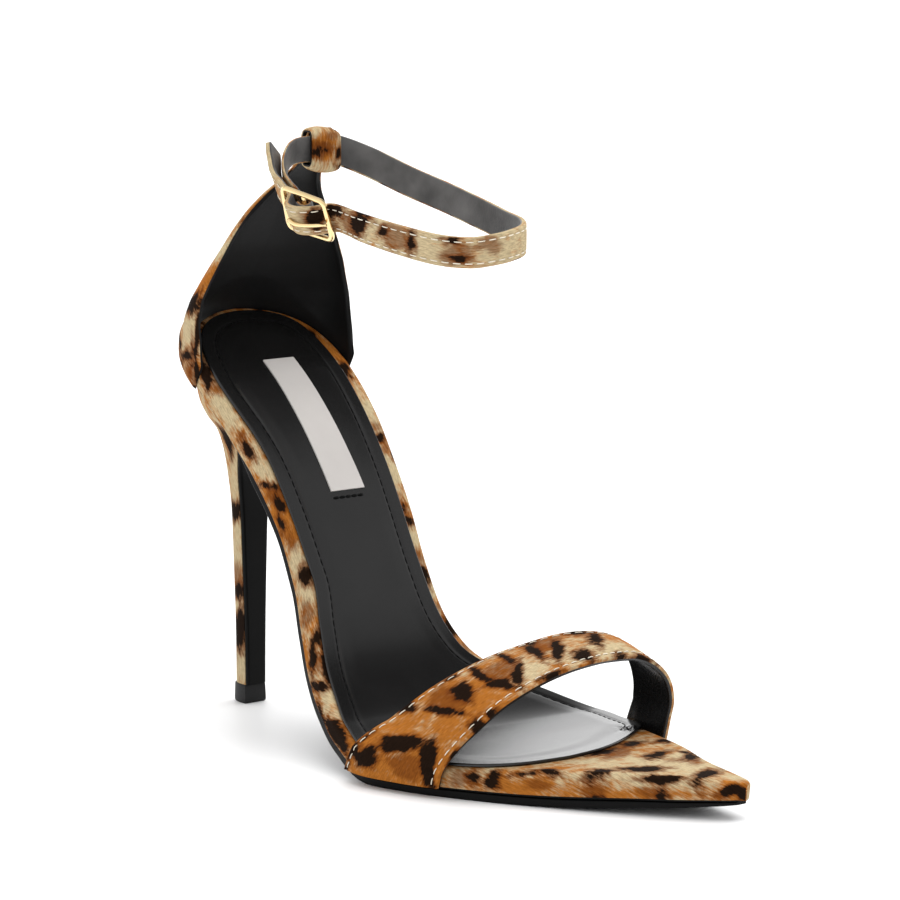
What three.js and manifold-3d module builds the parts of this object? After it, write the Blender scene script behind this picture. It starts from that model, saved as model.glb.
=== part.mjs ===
// Ankle strap heel, right shoe. Millimetres, +X to the toe, +Y to the inner side, +Z up, floor at z = 0.
import * as THREE from "three";
import { mergeVertices } from "three/addons/utils/BufferGeometryUtils.js";
import Module from "manifold-3d";

const wasm = await Module();
wasm.setup();

// Sizes in millimetres
const sole = {
  seatBack: -109.5,
  toeTip: 91,
  seatRound: 21,
  toeRound: 2.5,
  boardStart: -114,
  boardLength: 206,
  footbedRise: 110,
  ballHalfWidth: 42,
  seatPower: 2.2,
};
const board = { thickness: 5.6, edgeRound: 2 };
const outsole = { thickness: 2.3, inset: 0.9, gap: 0.25, breastStation: -80, tailStart: -66, tailTuck: 3.6, edgeRound: 0.5 };
const sock = { thickness: 0.8, gap: 0.2, seatBack: -107.4, seatRound: 19, tip: 41.4, edgeRound: 0.5 };
const label = { back: -90.1, front: -60, middle: -0.3, backHalfWidth: 5.3, frontHalfWidth: 5.8, thickness: 0.35, gap: 0.1 };
const heel = { gap: 0.2, backPower: 2.3, foot: 5.4, top: 112, roomHalfWidth: 40, roomHeight: 30 };
const heelTip = { height: 5.3, width: 7.4, depth: 7.9, front: -101 };
const breastFlap = { thickness: 1, gap: 0.2, bottom: 6, top: 88 };
const counter = { wall: 1.6, gap: 0.25, wings: -88.5, medialForward: 2.2, straightTop: 150, backBlend: 8, tuck: 0.7, top: 158 };
const sleeve = { centre: [-70.2, 0, 157.6], length: 9.8, height: 10.8, depth: 5.6, slotHeight: 8.9, slotDepth: 3 };
const ankleStrap = { width: 8, thickness: 1.6 };
const buckleStrap = { width: 7.4, thickness: 1 };
const toeStrap = { thickness: 1.8, gap: 0.3 };
const buckle = { wire: 0.75, bar: 0.61, cornerRound: 2 };
const prong = { wire: 0.6 };

const colours = {
  leopard: { color: 0xb98a5a, roughness: 0.6, metalness: 0 },
  black: { color: 0x161616, roughness: 0.45, metalness: 0 },
  label: { color: 0xc9c4c0, roughness: 0.6, metalness: 0 },
  gold: { color: 0xd9b877, roughness: 0.25, metalness: 1 },
};

// Footbed: shares of the board length, footbed rise, half width at the ball, and board and outsole thickness
const footbedRows = [
  ["along", "rise", "lateral", "medial", "board", "tread"],
  [0.0, 1.03, 0.6, 0.6, 1, 1],
  [0.049, 0.979, 0.57, 0.59, 1, 1],
  [0.097, 0.913, 0.6, 0.585, 1, 1],
  [0.146, 0.843, 0.63, 0.575, 1, 1],
  [0.194, 0.755, 0.61, 0.555, 1, 1],
  [0.238, 0.655, 0.57, 0.52, 1, 1],
  [0.282, 0.535, 0.55, 0.49, 1, 1],
  [0.32, 0.419, 0.58, 0.45, 1, 1],
  [0.359, 0.31, 0.67, 0.43, 1, 1],
  [0.398, 0.223, 0.77, 0.48, 1, 1],
  [0.437, 0.161, 0.85, 0.64, 1, 1],
  [0.485, 0.111, 0.93, 0.83, 1, 1],
  [0.553, 0.0735, 1.0, 0.96, 1, 1],
  [0.61, 0.0725, 0.95, 0.91, 1, 1],
  [0.675, 0.0755, 0.84, 0.81, 1.06, 1],
  [0.796, 0.0885, 0.55, 0.56, 1.25, 0.95],
  [0.917, 0.0975, 0.2, 0.275, 1.18, 0.7],
  [0.981, 0.0915, -0.02, 0.21, 0.94, 0.4],
  [1.0, 0.0865, -0.08, 0.19, 0.8, 0.3],
];

// Sock lining: station in millimetres as a share of the board length, half widths as shares of the ball
const sockRows = [
  ["along", "lateral", "medial"],
  [0.02, 0.55, 0.54],
  [0.097, 0.55, 0.46],
  [0.146, 0.58, 0.45],
  [0.238, 0.51, 0.41],
  [0.32, 0.52, 0.36],
  [0.359, 0.61, 0.35],
  [0.398, 0.71, 0.39],
  [0.437, 0.79, 0.56],
  [0.485, 0.89, 0.78],
  [0.553, 0.97, 0.94],
  [0.61, 0.93, 0.89],
  [0.655, 0.85, 0.83],
  [0.681, 0.81, 0.68],
  [0.707, 0.75, 0.48],
  [0.728, 0.66, 0.29],
  [0.743, 0.54, 0.11],
  [0.752, 0.38, -0.07],
  [0.757, 0.26, -0.17],
];

// Heel sections: height, then back, front and half width in millimetres
const heelRows = [
  ["z", "back", "front", "half"],
  [5.4, -108.1, -101.4, 3.3],
  [20, -108.1, -101.4, 3.5],
  [40, -108.4, -101.5, 4.1],
  [55, -108.7, -101.5, 4.7],
  [64, -109.2, -100.7, 6.0],
  [72, -109.8, -97.7, 8.4],
  [78, -110.3, -93.6, 12],
  [83, -110.8, -88.4, 18],
  [88, -111.3, -83.4, 22.4],
  [94, -112, -80.5, 24.6],
  [101, -112.5, -80.5, 25.6],
  [112, -112.7, -80.5, 25.6],
];

// Counter sections above the seat: height, front edge, depth from it to the back, half widths
const counterRows = [
  ["z", "front", "depth", "lateral", "medial"],
  [80, -90, 21.4, 26.9, 26.2],
  [97, -90, 21.6, 26.9, 26.1],
  [101, -90.6, 21.9, 26.6, 26.1],
  [105, -90.8, 21.9, 26.6, 26],
  [110, -91.2, 19.6, 26.7, 25.7],
  [115, -90.9, 16.4, 26.2, 24.9],
  [120, -89.9, 13.6, 24.6, 23],
  [125, -88.6, 11.4, 22.5, 20.9],
  [130, -87.6, 8.9, 19.9, 18.5],
  [135, -86.6, 7, 17.1, 16.2],
  [140, -85.2, 5.6, 13.8, 13.3],
  [145, -82.6, 4.6, 10, 9.8],
  [150, -78.2, 3.4, 6.4, 6.4],
  [154, -74.8, 3, 4.7, 4.7],
  [158, -72.2, 2.8, 4.4, 4.4],
];

// Toe strap edges from the outer side over to the inner side, in millimetres
const toeStrapRows = [
  ["backX", "backY", "backZ", "frontX", "frontY", "frontZ"],
  [-8.5, -42.6, 3.2, 23.6, -38.4, 2.7],
  [-6.4, -42.4, 6.5, 25.4, -38.4, 7.5],
  [-2.6, -40.2, 11.8, 29, -36.8, 13.3],
  [2.8, -34, 18.8, 33.4, -33, 19.6],
  [7.4, -24.5, 25.8, 36.6, -27, 25.4],
  [10.4, -11.5, 31, 39.2, -17.5, 30.2],
  [13.4, -1, 33.9, 39.6, -8, 32.4],
  [18.2, 8, 36.4, 38.8, 2, 33],
  [22, 16, 36.6, 37, 11, 32.4],
  [23, 23.5, 34.2, 35.2, 20.6, 31.2],
  [22, 29.5, 29, 34.2, 28.2, 28.2],
  [19, 34.5, 22.2, 33.4, 33.6, 23.4],
  [15.2, 38.2, 15.6, 32.4, 36.2, 17.2],
  [11.6, 40, 9.4, 31, 36.2, 11.2],
  [9.6, 40.6, 4.2, 29.8, 35.6, 4.2],
];

// Ankle strap centre line from the sleeve round the front to the buckle; lean is the outward tilt of its top
const ankleStrapRows = [
  ["x", "y", "z", "lean"],
  [-70.2, -0.8, 157.7, 0],
  [-70.2, 2, 157.5, 0],
  [-69.9, 6.2, 157, 0],
  [-64.8, 12.6, 153.8, -4],
  [-53, 17, 149, -5],
  [-39.9, 19, 145.4, -5],
  [-22.9, 17.8, 141.8, -4],
  [-10.4, 14, 140.2, -3],
  [1.4, 9, 139.4, -2],
  [9, 3, 138.6, 0],
  [12.2, -4, 137.8, 3],
  [12.2, -9.5, 137.1, 5],
  [9.8, -15.3, 136.5, 7],
  [3.4, -20.5, 137.1, 9],
  [-7.2, -24.2, 139, 12],
  [-21.5, -25.4, 141.3, 16],
  [-30, -24.2, 142.5, 20],
  [-35, -23.9, 142.9, 23],
  [-39.4, -26.8, 142, 24],
  [-43.3, -29.2, 142, 24],
  [-46.2, -29, 142.8, 24],
  [-48.7, -26.2, 144.6, 24],
  [-51.8, -24.3, 145.4, 23],
  [-55, -24.2, 147.3, 23],
  [-58.8, -23.8, 150.3, 22],
  [-62, -22.4, 154.6, 22],
  [-64.6, -20.8, 159, 22],
];

// Short strap from the sleeve down to the back bar of the buckle
const buckleStrapRows = [
  ["x", "y", "z", "lean"],
  [-70.2, -1.8, 157.8, 0],
  [-70, -6, 157.9, 0],
  [-69, -10.6, 157.4, 2],
  [-66.2, -15, 155.8, 8],
  [-62.4, -18.8, 152.9, 16],
  [-58.2, -21.2, 149.9, 21],
  [-55, -21.9, 148, 23],
  [-51.8, -22.4, 146.5, 23],
  [-48.6, -23.6, 145.3, 23],
  [-45.4, -25, 144.3, 23],
  [-43.4, -24.8, 144, 23],
  [-42.2, -25.2, 143.5, 23],
  [-41.8, -26.1, 143.1, 23],
  [-42.3, -27.1, 142.7, 23],
  [-43.6, -27.5, 142.8, 23],
  [-45.4, -27.2, 143.4, 23],
];

// Buckle frame corners: outer wire centre line
const buckleCorners = [
  ["x", "y", "z"],
  [-33.6, -28.4, 147.2],
  [-36, -23.4, 136.8],
  [-53.2, -24.2, 139.2],
  [-50.4, -28.8, 150.2],
];

// Value of a named column at a place, along a smooth curve that doesn't overshoot
function lookUp(rows, key, place, name) {
  const head = rows[0];
  const keyAt = head.indexOf(key);
  const nameAt = head.indexOf(name);
  const data = rows.slice(1);
  const last = data.length - 1;
  if (place <= data[0][keyAt]) return data[0][nameAt];
  if (place >= data[last][keyAt]) return data[last][nameAt];
  let low = 0;
  while (data[low + 1][keyAt] < place) low += 1;
  const secant = (i) => (data[i + 1][nameAt] - data[i][nameAt]) / (data[i + 1][keyAt] - data[i][keyAt]);
  const tangent = (i) => {
    if (i === 0) return secant(0);
    if (i === last) return secant(last - 1);
    const before = secant(i - 1);
    const after = secant(i);
    if (before * after <= 0) return 0;
    return (2 * before * after) / (before + after);
  };
  const span = data[low + 1][keyAt] - data[low][keyAt];
  const t = (place - data[low][keyAt]) / span;
  const a = data[low][nameAt];
  const b = data[low + 1][nameAt];
  const ma = tangent(low) * span;
  const mb = tangent(low + 1) * span;
  return (
    a * (1 + 2 * t) * (1 - t) ** 2 + ma * t * (1 - t) ** 2 + b * t * t * (3 - 2 * t) + mb * t * t * (t - 1)
  );
}

// Smooth curve through rows of points: returns a function of 0..1 that gives every column
function curveThrough(rows) {
  const head = rows[0];
  const data = rows.slice(1);
  const along = [0];
  for (let i = 1; i < data.length; i += 1) {
    const step = Math.hypot(...[0, 1, 2].map((k) => data[i][k] - data[i - 1][k]));
    along.push(along[i - 1] + Math.sqrt(step));
  }
  const total = along[along.length - 1];
  const table = [["t", ...head], ...data.map((row, i) => [along[i] / total, ...row])];
  const slopes = data.map((row, i) => {
    const a = Math.max(0, i - 1);
    const b = Math.min(data.length - 1, i + 1);
    return row.map((_, k) => (data[b][k] - data[a][k]) / ((along[b] - along[a]) / total));
  });
  return (t) => {
    let low = 0;
    while (low < data.length - 2 && table[low + 2][0] < t) low += 1;
    const t0 = table[low + 1][0];
    const span = table[low + 2][0] - t0;
    const s = Math.min(1, Math.max(0, (t - t0) / span));
    return data[low].map((a, k) => {
      const b = data[low + 1][k];
      return (
        a * (1 + 2 * s) * (1 - s) ** 2 +
        slopes[low][k] * span * s * (1 - s) ** 2 +
        b * s * s * (3 - 2 * s) +
        slopes[low + 1][k] * span * s * s * (s - 1)
      );
    });
  };
}

const roundOff = (share, power) => (1 - (1 - Math.min(1, Math.max(0, share))) ** power) ** (1 / power);

// Height of the footbed at a station along X, and the direction square to it
function footbed(x) {
  const place = (x - sole.boardStart) / sole.boardLength;
  const read = (name, at) => lookUp(footbedRows, "along", at, name);
  const rise = (at) => read("rise", at) * sole.footbedRise;
  const step = 0.01;
  const slope = (rise(place + step) - rise(place - step)) / (2 * step * sole.boardLength);
  const length = Math.hypot(1, slope);
  return {
    z: rise(place),
    normal: [-slope / length, 1 / length],
    lateral: read("lateral", place) * sole.ballHalfWidth,
    medial: read("medial", place) * sole.ballHalfWidth,
    board: read("board", place),
    tread: read("tread", place),
  };
}

// Depth under the footbed where the board and the outsole have their own thickness at this station
function localDepth(at, plainDepth) {
  if (plainDepth <= 0) return plainDepth;
  const within = Math.min(plainDepth, board.thickness);
  const between = Math.min(plainDepth - within, outsole.gap);
  return within * at.board + between + (plainDepth - within - between) * at.tread;
}

// Board edges at a station: y of the outer and the inner edge, rounded in at the seat and the toe
function boardEdges(x) {
  const at = footbed(x);
  const seat = roundOff((x - sole.seatBack) / sole.seatRound, sole.seatPower);
  const toe = roundOff((sole.toeTip - x) / sole.toeRound, 2);
  const middle = x > 60 ? (at.medial - at.lateral) / 2 : 0;
  return [middle + (-at.lateral - middle) * seat * toe, middle + (at.medial - middle) * seat * toe];
}

function sockEdges(x) {
  const place = (x - sole.boardStart) / sole.boardLength;
  const seat = roundOff((x - sock.seatBack) / sock.seatRound, sole.seatPower);
  const tip = roundOff((sock.tip - x) / 1.5, 2);
  const lateral = -lookUp(sockRows, "along", place, "lateral") * sole.ballHalfWidth;
  const medial = lookUp(sockRows, "along", place, "medial") * sole.ballHalfWidth;
  const middle = x > 30 ? (lateral + medial) / 2 : 0;
  return [middle + (lateral - middle) * seat * tip, middle + (medial - middle) * seat * tip];
}

// Closed body from rings of equal length; its ends are fans, or strips where each ring goes out and back
function loft(rings, ends = "fan") {
  const points = [];
  const faces = [];
  const count = rings[0].length;
  rings.forEach((ring) => ring.forEach((p) => points.push(...p)));
  for (let i = 0; i < rings.length - 1; i += 1) {
    for (let j = 0; j < count; j += 1) {
      const k = (j + 1) % count;
      const a = i * count + j;
      const b = i * count + k;
      const c = a + count;
      const d = b + count;
      faces.push(a, b, d, a, d, c);
    }
  }
  const cap = (ring, flip) => {
    const middle = [0, 1, 2].map((axis) => ring.reduce((sum, p) => sum + p[axis], 0) / count);
    const centre = points.length / 3;
    points.push(...middle);
    const base = flip ? 0 : (rings.length - 1) * count;
    for (let j = 0; j < count; j += 1) {
      const k = (j + 1) % count;
      if (flip) faces.push(centre, base + k, base + j);
      else faces.push(centre, base + j, base + k);
    }
  };
  const strip = (base, flip) => {
    for (let j = 0; j < count / 2 - 1; j += 1) {
      const [a, b, c, d] = [base + j, base + j + 1, base + count - 2 - j, base + count - 1 - j];
      if (flip) faces.push(a, c, b, a, d, c);
      else faces.push(a, b, c, a, c, d);
    }
  };
  if (ends === "strip") {
    strip(0, true);
    strip((rings.length - 1) * count, false);
  } else {
    cap(rings[0], true);
    cap(rings[rings.length - 1], false);
  }
  const geometry = new THREE.BufferGeometry();
  geometry.setAttribute("position", new THREE.Float32BufferAttribute(points, 3));
  geometry.setIndex(faces);
  return outward(geometry);
}

// Turn a closed geometry so its faces point out
function outward(geometry) {
  const p = geometry.getAttribute("position").array;
  const index = geometry.getIndex().array;
  let volume = 0;
  for (let i = 0; i < index.length; i += 3) {
    const [a, b, c] = [index[i] * 3, index[i + 1] * 3, index[i + 2] * 3];
    volume += p[a] * (p[b + 1] * p[c + 2] - p[b + 2] * p[c + 1]);
    volume += p[a + 1] * (p[b + 2] * p[c] - p[b] * p[c + 2]);
    volume += p[a + 2] * (p[b] * p[c + 1] - p[b + 1] * p[c]);
  }
  if (volume > 0) return geometry;
  const turned = [];
  for (let i = 0; i < index.length; i += 3) turned.push(index[i], index[i + 2], index[i + 1]);
  geometry.setIndex(turned);
  return geometry;
}

function toSolid(geometry) {
  const bare = geometry.clone();
  bare.deleteAttribute("normal");
  bare.deleteAttribute("uv");
  const merged = mergeVertices(bare, 1e-4);
  const mesh = new wasm.Mesh({
    numProp: 3,
    vertProperties: new Float32Array(merged.getAttribute("position").array),
    triVerts: new Uint32Array(merged.getIndex().array),
  });
  return new wasm.Manifold(mesh);
}

function fromSolid(solid) {
  const mesh = solid.getMesh();
  const geometry = new THREE.BufferGeometry();
  geometry.setAttribute("position", new THREE.Float32BufferAttribute(mesh.vertProperties, 3));
  geometry.setIndex(Array.from(mesh.triVerts));
  return geometry;
}

// Stations between two places, closer together towards ends that are rounded
function stations(from, to, count, crowdStart, crowdEnd) {
  return Array.from({ length: count + 1 }, (_, i) => {
    const t = i / count;
    let eased = t;
    if (crowdStart && crowdEnd) eased = (1 - Math.cos(Math.PI * t)) / 2;
    else if (crowdStart) eased = 1 - Math.cos((Math.PI * t) / 2);
    else if (crowdEnd) eased = Math.sin((Math.PI * t) / 2);
    return from + (to - from) * eased;
  });
}

// Sheet that follows the footbed: a ring at each station, from one depth under it to another
function sheet({ places, edges, upper, lower, round, grow = 0, columns = 8, floor = false, crown = 0 }) {
  const rings = places.map((x) => {
    const at = footbed(x);
    const [left, right] = edges(x);
    const middle = (left + right) / 2;
    const half = Math.max(0.25, (right - left) / 2 + grow);
    const r = Math.min(round, half * 0.6, (lower - upper) * 0.45);
    const profile = [
      [-half, lower - r],
      [-half, upper + r],
      [-half + 0.3 * r, upper + 0.3 * r],
    ];
    for (let j = 0; j <= columns; j += 1) {
      const y = (half - r) * ((2 * j) / columns - 1);
      profile.push([y, upper - crown * (1 - (y / half) ** 2)]);
    }
    profile.push([half - 0.3 * r, upper + 0.3 * r], [half, upper + r], [half, lower - r]);
    profile.push([half - 0.3 * r, lower - 0.3 * r]);
    for (let j = 0; j <= columns; j += 1) {
      const y = (half - r) * (1 - (2 * j) / columns);
      profile.push([y, lower]);
    }
    profile.push([-half + 0.3 * r, lower - 0.3 * r]);
    return profile.map(([y, plainDepth]) => {
      const depth = localDepth(at, plainDepth);
      const z = at.z - at.normal[1] * depth;
      return [x - at.normal[0] * depth, middle + y, floor ? Math.max(0, z) : z];
    });
  });
  return loft(rings);
}

// Band swept along a centre line: a rounded box section whose top leans to the outer side by a given angle
function band({ rows, width, thickness, steps, pitch = 0 }) {
  const curve = curveThrough(rows);
  const rings = [];
  for (let i = 0; i <= steps; i += 1) {
    const t = i / steps;
    const here = curve(t);
    const next = curve(Math.min(1, t + 0.004));
    const before = curve(Math.max(0, t - 0.004));
    const along = new THREE.Vector3(next[0] - before[0], next[1] - before[1], next[2] - before[2]).normalize();
    const lean = THREE.MathUtils.degToRad(here[3]);
    const across = new THREE.Vector3(pitch, -Math.sin(lean), Math.cos(lean));
    across.addScaledVector(along, -across.dot(along)).normalize();
    const out = new THREE.Vector3().crossVectors(along, across).normalize();
    const w = width / 2;
    const h = thickness / 2;
    const c = thickness * 0.28;
    const outline = [
      [-w, -h + c],
      [-w, h - c],
      [-w + c, h],
      [w - c, h],
      [w, h - c],
      [w, -h + c],
      [w - c, -h],
      [-w + c, -h],
    ];
    rings.push(
      outline.map(([a, b]) => {
        const p = new THREE.Vector3(here[0], here[1], here[2]).addScaledVector(across, a).addScaledVector(out, b);
        return [p.x, p.y, p.z];
      }),
    );
  }
  return loft(rings);
}

// Outsole edges: the board's, narrower at the tail where the heel cover hides it
function outsoleEdges(x) {
  const [left, right] = boardEdges(x);
  const share = (outsole.tailStart - x) / (outsole.tailStart - outsole.breastStation);
  const tuck = outsole.tailTuck * Math.min(1, Math.max(0, share));
  return [left + tuck, right - tuck];
}

function makeOutsole() {
  const { thickness, inset, gap, breastStation, edgeRound } = outsole;
  const upper = board.thickness + gap;
  const tread = sheet({
    places: stations(breastStation - 2.4, sole.toeTip - 1, 38, false, true),
    edges: outsoleEdges,
    upper,
    lower: upper + thickness,
    round: edgeRound,
    grow: -inset,
    columns: 4,
    floor: true,
  });
  const levels = stations(breastFlap.bottom, breastFlap.top, 22, false, false);
  const flap = loft(
    levels.map((z) => {
      const front = lookUp(heelRows, "z", z, "front") + breastFlap.gap;
      const half = lookUp(heelRows, "z", z, "half") - 0.1;
      const face = front + breastFlap.thickness;
      return [
        [front, -half, z],
        [face, -half + 0.3, z],
        [face, half - 0.3, z],
        [front, half, z],
      ];
    }),
  );
  const boardRoom = sheet({
    places: stations(-112, -55, 16, false, false),
    edges: boardEdges,
    upper: -3,
    lower: upper - 0.02,
    round: 0.1,
    grow: 6,
    columns: 2,
  });
  const behind = sheet({
    places: stations(-112, breastStation - 3, 12, false, false),
    edges: boardEdges,
    upper: -3,
    lower: upper + 0.1,
    round: 0.1,
    grow: 6,
    columns: 2,
  });
  return fromSolid(toSolid(tread).add(toSolid(flap)).subtract(toSolid(boardRoom)).subtract(toSolid(behind)));
}

function makeBoard() {
  return sheet({
    places: [
      ...stations(sole.seatBack, -88, 12, true, false),
      ...stations(-85, 86, 34, false, false),
      ...stations(88, sole.toeTip, 6, false, true),
    ],
    edges: boardEdges,
    upper: 0,
    lower: board.thickness,
    round: board.edgeRound,
    columns: 4,
  });
}

function makeSock() {
  return sheet({
    places: [...stations(sock.seatBack, -88, 9, true, false), ...stations(-84, sock.tip, 32, false, true)],
    edges: sockEdges,
    upper: -sock.thickness - sock.gap,
    lower: -sock.gap,
    round: sock.edgeRound,
    columns: 4,
  });
}

function makeLabel() {
  const depth = -sock.thickness - sock.gap - label.gap;
  return sheet({
    places: stations(label.back, label.front, 9, false, false),
    edges: (x) => {
      const share = (x - label.back) / (label.front - label.back);
      const half = label.backHalfWidth + (label.frontHalfWidth - label.backHalfWidth) * share;
      return [label.middle - half, label.middle + half];
    },
    upper: depth - label.thickness,
    lower: depth,
    round: 0.1,
    columns: 2,
  });
}

// D-shaped section: flat breast in front, rounded back
function heelRing(z, back, front, half, shrink) {
  const ring = [];
  const steps = 20;
  for (let i = 0; i <= steps; i += 1) {
    const angle = Math.PI * (0.5 + i / steps);
    const c = Math.abs(Math.cos(angle)) ** (2 / heel.backPower);
    const s = Math.sign(Math.sin(angle)) * Math.abs(Math.sin(angle)) ** (2 / heel.backPower);
    ring.push([front - (front - back) * c * shrink, half * s * shrink, z]);
  }
  return ring;
}

function makeHeel() {
  const levels = [14, 24, 34, 44, 52, 58, 63, 67, 71, 75, 78, 81, 84, 87, 90, 94, 98, 103];
  const body = loft(
    [heel.foot, ...levels, heel.top].map((z) => {
      const read = (name) => lookUp(heelRows, "z", z, name);
      return heelRing(z, read("back"), read("front"), read("half"), 1);
    }),
  );
  const room = (upper, lower, from, count) =>
    toSolid(
      sheet({
        places: stations(from, -50, count, false, false),
        edges: () => [-heel.roomHalfWidth, heel.roomHalfWidth],
        upper,
        lower,
        round: 0.1,
        columns: 2,
      }),
    );
  const boardRoom = room(-heel.roomHeight, board.thickness + heel.gap, -122, 30);
  const underOutsole = board.thickness + outsole.gap + outsole.thickness + heel.gap;
  const outsoleRoom = room(2, underOutsole, outsole.breastStation - 3.4, 14);
  return fromSolid(toSolid(body).subtract(boardRoom).subtract(outsoleRoom));
}

function makeHeelTip() {
  const { height, width, depth, front } = heelTip;
  const ring = (z, shrink) => {
    const middle = front - depth / 2;
    return heelRing(z, front - depth, front, width / 2, 1).map(([x, y]) => [middle + (x - middle) * shrink, y * shrink, z]);
  };
  return loft([ring(0, 0.96), ring(0.5, 1), ring(height - 0.2, 0.97), ring(height, 0.95)]);
}

// Point on the counter: angle 0 at the back, -90 degrees at the outer front edge, +90 at the inner one
function counterPoint(angle, z, inward) {
  const read = (name) => lookUp(counterRows, "z", z, name);
  const c = Math.abs(Math.cos(angle)) ** (2 / sole.seatPower);
  const s = Math.sign(Math.sin(angle)) * Math.abs(Math.sin(angle)) ** (2 / sole.seatPower);
  const low = Math.min(1, Math.max(0, (counter.straightTop - z) / 20));
  const forward = counter.medialForward * low * Math.max(0, s);
  const half = read(s > 0 ? "medial" : "lateral");
  return [read("front") + forward - (read("depth") - inward) * c, (half - inward) * s, z];
}

function makeCounter() {
  const columns = 22;
  const levels = 15;
  const wallRing = (i) => {
    const angle = -Math.PI / 2 + (Math.PI * i) / columns;
    const outer = [];
    const inner = [];
    const c = Math.abs(Math.cos(angle)) ** (2 / sole.seatPower);
    const station = counter.wings + (sole.seatBack - counter.wings) * c;
    const at = footbed(station);
    const bottom = at.z - at.normal[1] * (board.thickness - 0.2);
    const back = at.normal[0] * (board.thickness - 0.2);
    for (let j = 0; j <= levels; j += 1) {
      const v = (j / levels) ** 1.15;
      const z = bottom + (counter.top - bottom) * v;
      const low = Math.max(0, 1 - (z - bottom) / (at.z + 2 + counter.backBlend * c ** 4 - bottom));
      const tuck = counter.tuck * Math.max(0, 1 - (z - bottom) / 5) ** 2;
      const o = counterPoint(angle, z, tuck);
      const n = counterPoint(angle, z, counter.wall);
      outer.push([o[0] - back * low, o[1], o[2]]);
      inner.push([n[0] - back * low, n[1], n[2]]);
    }
    return [...outer, ...inner.reverse()];
  };
  const wall = loft(Array.from({ length: columns + 1 }, (_, i) => wallRing(i)), "strip");
  const backwards = (x) => x + counter.gap * 1.6 * Math.min(1, Math.max(0, (-88 - x) / sole.seatRound));
  const seatRoom = sheet({
    places: [...stations(sole.seatBack - counter.gap * 1.6, -88, 14, true, false), ...stations(-85, -60, 4, false, false)],
    edges: (x) => boardEdges(backwards(x)),
    upper: -0.1,
    lower: board.thickness + 0.4,
    round: 0.3,
    grow: counter.gap,
    columns: 2,
  });
  const sockRoom = sheet({
    places: [...stations(sock.seatBack - counter.gap * 1.6, -88, 9, true, false), ...stations(-84, -60, 4, false, false)],
    edges: (x) => sockEdges(backwards(x)),
    upper: -sock.thickness - sock.gap - 0.25,
    lower: 0,
    round: 0.2,
    grow: counter.gap,
    columns: 2,
  });
  const [cx, cy, cz] = sleeve.centre;
  const box = (depth, height, length, round) => {
    const outline = [];
    for (let i = 0; i < 16; i += 1) {
      const angle = (Math.PI * 2 * (i + 0.5)) / 16;
      const px = Math.sign(Math.cos(angle)) * (depth / 2 - round) + round * Math.cos(angle);
      const pz = Math.sign(Math.sin(angle)) * (height / 2 - round) + round * Math.sin(angle);
      outline.push([cx + px, pz]);
    }
    return loft([-0.5, -0.46, 0, 0.46, 0.5].map((s) => {
      const grow = Math.abs(s) > 0.48 ? 0.985 : 1;
      return outline.map(([x, z]) => [cx + (x - cx) * grow, cy + s * length, cz - s * 1 + z * grow]);
    }));
  };
  const tube = toSolid(box(sleeve.depth, sleeve.height, sleeve.length, 1.6));
  const slot = toSolid(box(sleeve.slotDepth, sleeve.slotHeight, sleeve.length + 30, 0.6));
  return fromSolid(toSolid(wall).add(tube).subtract(slot).subtract(toSolid(seatRoom)).subtract(toSolid(sockRoom)));
}

function makeToeStrap() {
  const curve = curveThrough(toeStrapRows);
  const steps = 26;
  const across = 6;
  const surface = (t, u) => {
    const p = curve(t);
    const bulge = 4 * u * (1 - u) * Math.sin(Math.PI * t) * 0.9;
    const v = new THREE.Vector3(
      p[0] + (p[3] - p[0]) * u,
      p[1] + (p[4] - p[1]) * u,
      p[2] + (p[5] - p[2]) * u,
    );
    const centre = new THREE.Vector3(v.x, 0, 8);
    const away = v.clone().sub(centre).normalize();
    v.addScaledVector(away, bulge);
    const [left, right] = boardEdges(v.x);
    const room = toeStrap.gap + toeStrap.thickness + 0.1;
    const low = Math.min(1, Math.max(0, (17 - v.z) / 7));
    if (t < 0.5) v.y += Math.min(0, left - room - v.y) * low;
    else v.y += Math.max(0, right + room - v.y) * low;
    return v;
  };
  const normal = (t, u) => {
    const e = 0.01;
    const along = surface(Math.min(1, t + e), u).sub(surface(Math.max(0, t - e), u));
    const over = surface(t, Math.min(1, u + e)).sub(surface(t, Math.max(0, u - e)));
    return new THREE.Vector3().crossVectors(over, along).normalize();
  };
  const rings = [];
  for (let i = 0; i <= steps; i += 1) {
    const t = i / steps;
    const outer = [];
    const inner = [];
    for (let j = 0; j <= across; j += 1) {
      const u = j / across;
      const p = surface(t, u);
      const n = normal(t, u);
      const q = p.clone().addScaledVector(n, -toeStrap.thickness);
      outer.push([p.x, p.y, p.z]);
      inner.push([q.x, q.y, q.z]);
    }
    rings.push([...outer, ...inner.reverse()]);
  }
  const strap = loft(rings, "strip");
  const room = sheet({
    places: stations(-40, 60, 24, false, false),
    edges: boardEdges,
    upper: -0.05,
    lower: board.thickness + outsole.thickness + 1,
    round: board.edgeRound,
    grow: toeStrap.gap,
    columns: 2,
  });
  return fromSolid(toSolid(strap).subtract(toSolid(room)));
}

function makeAnkleStrap() {
  return band({ rows: ankleStrapRows, width: ankleStrap.width, thickness: ankleStrap.thickness, steps: 74 });
}

function makeBuckleStrap() {
  return band({ rows: buckleStrapRows, width: buckleStrap.width, thickness: buckleStrap.thickness, steps: 26, pitch: 0.25 });
}

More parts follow.
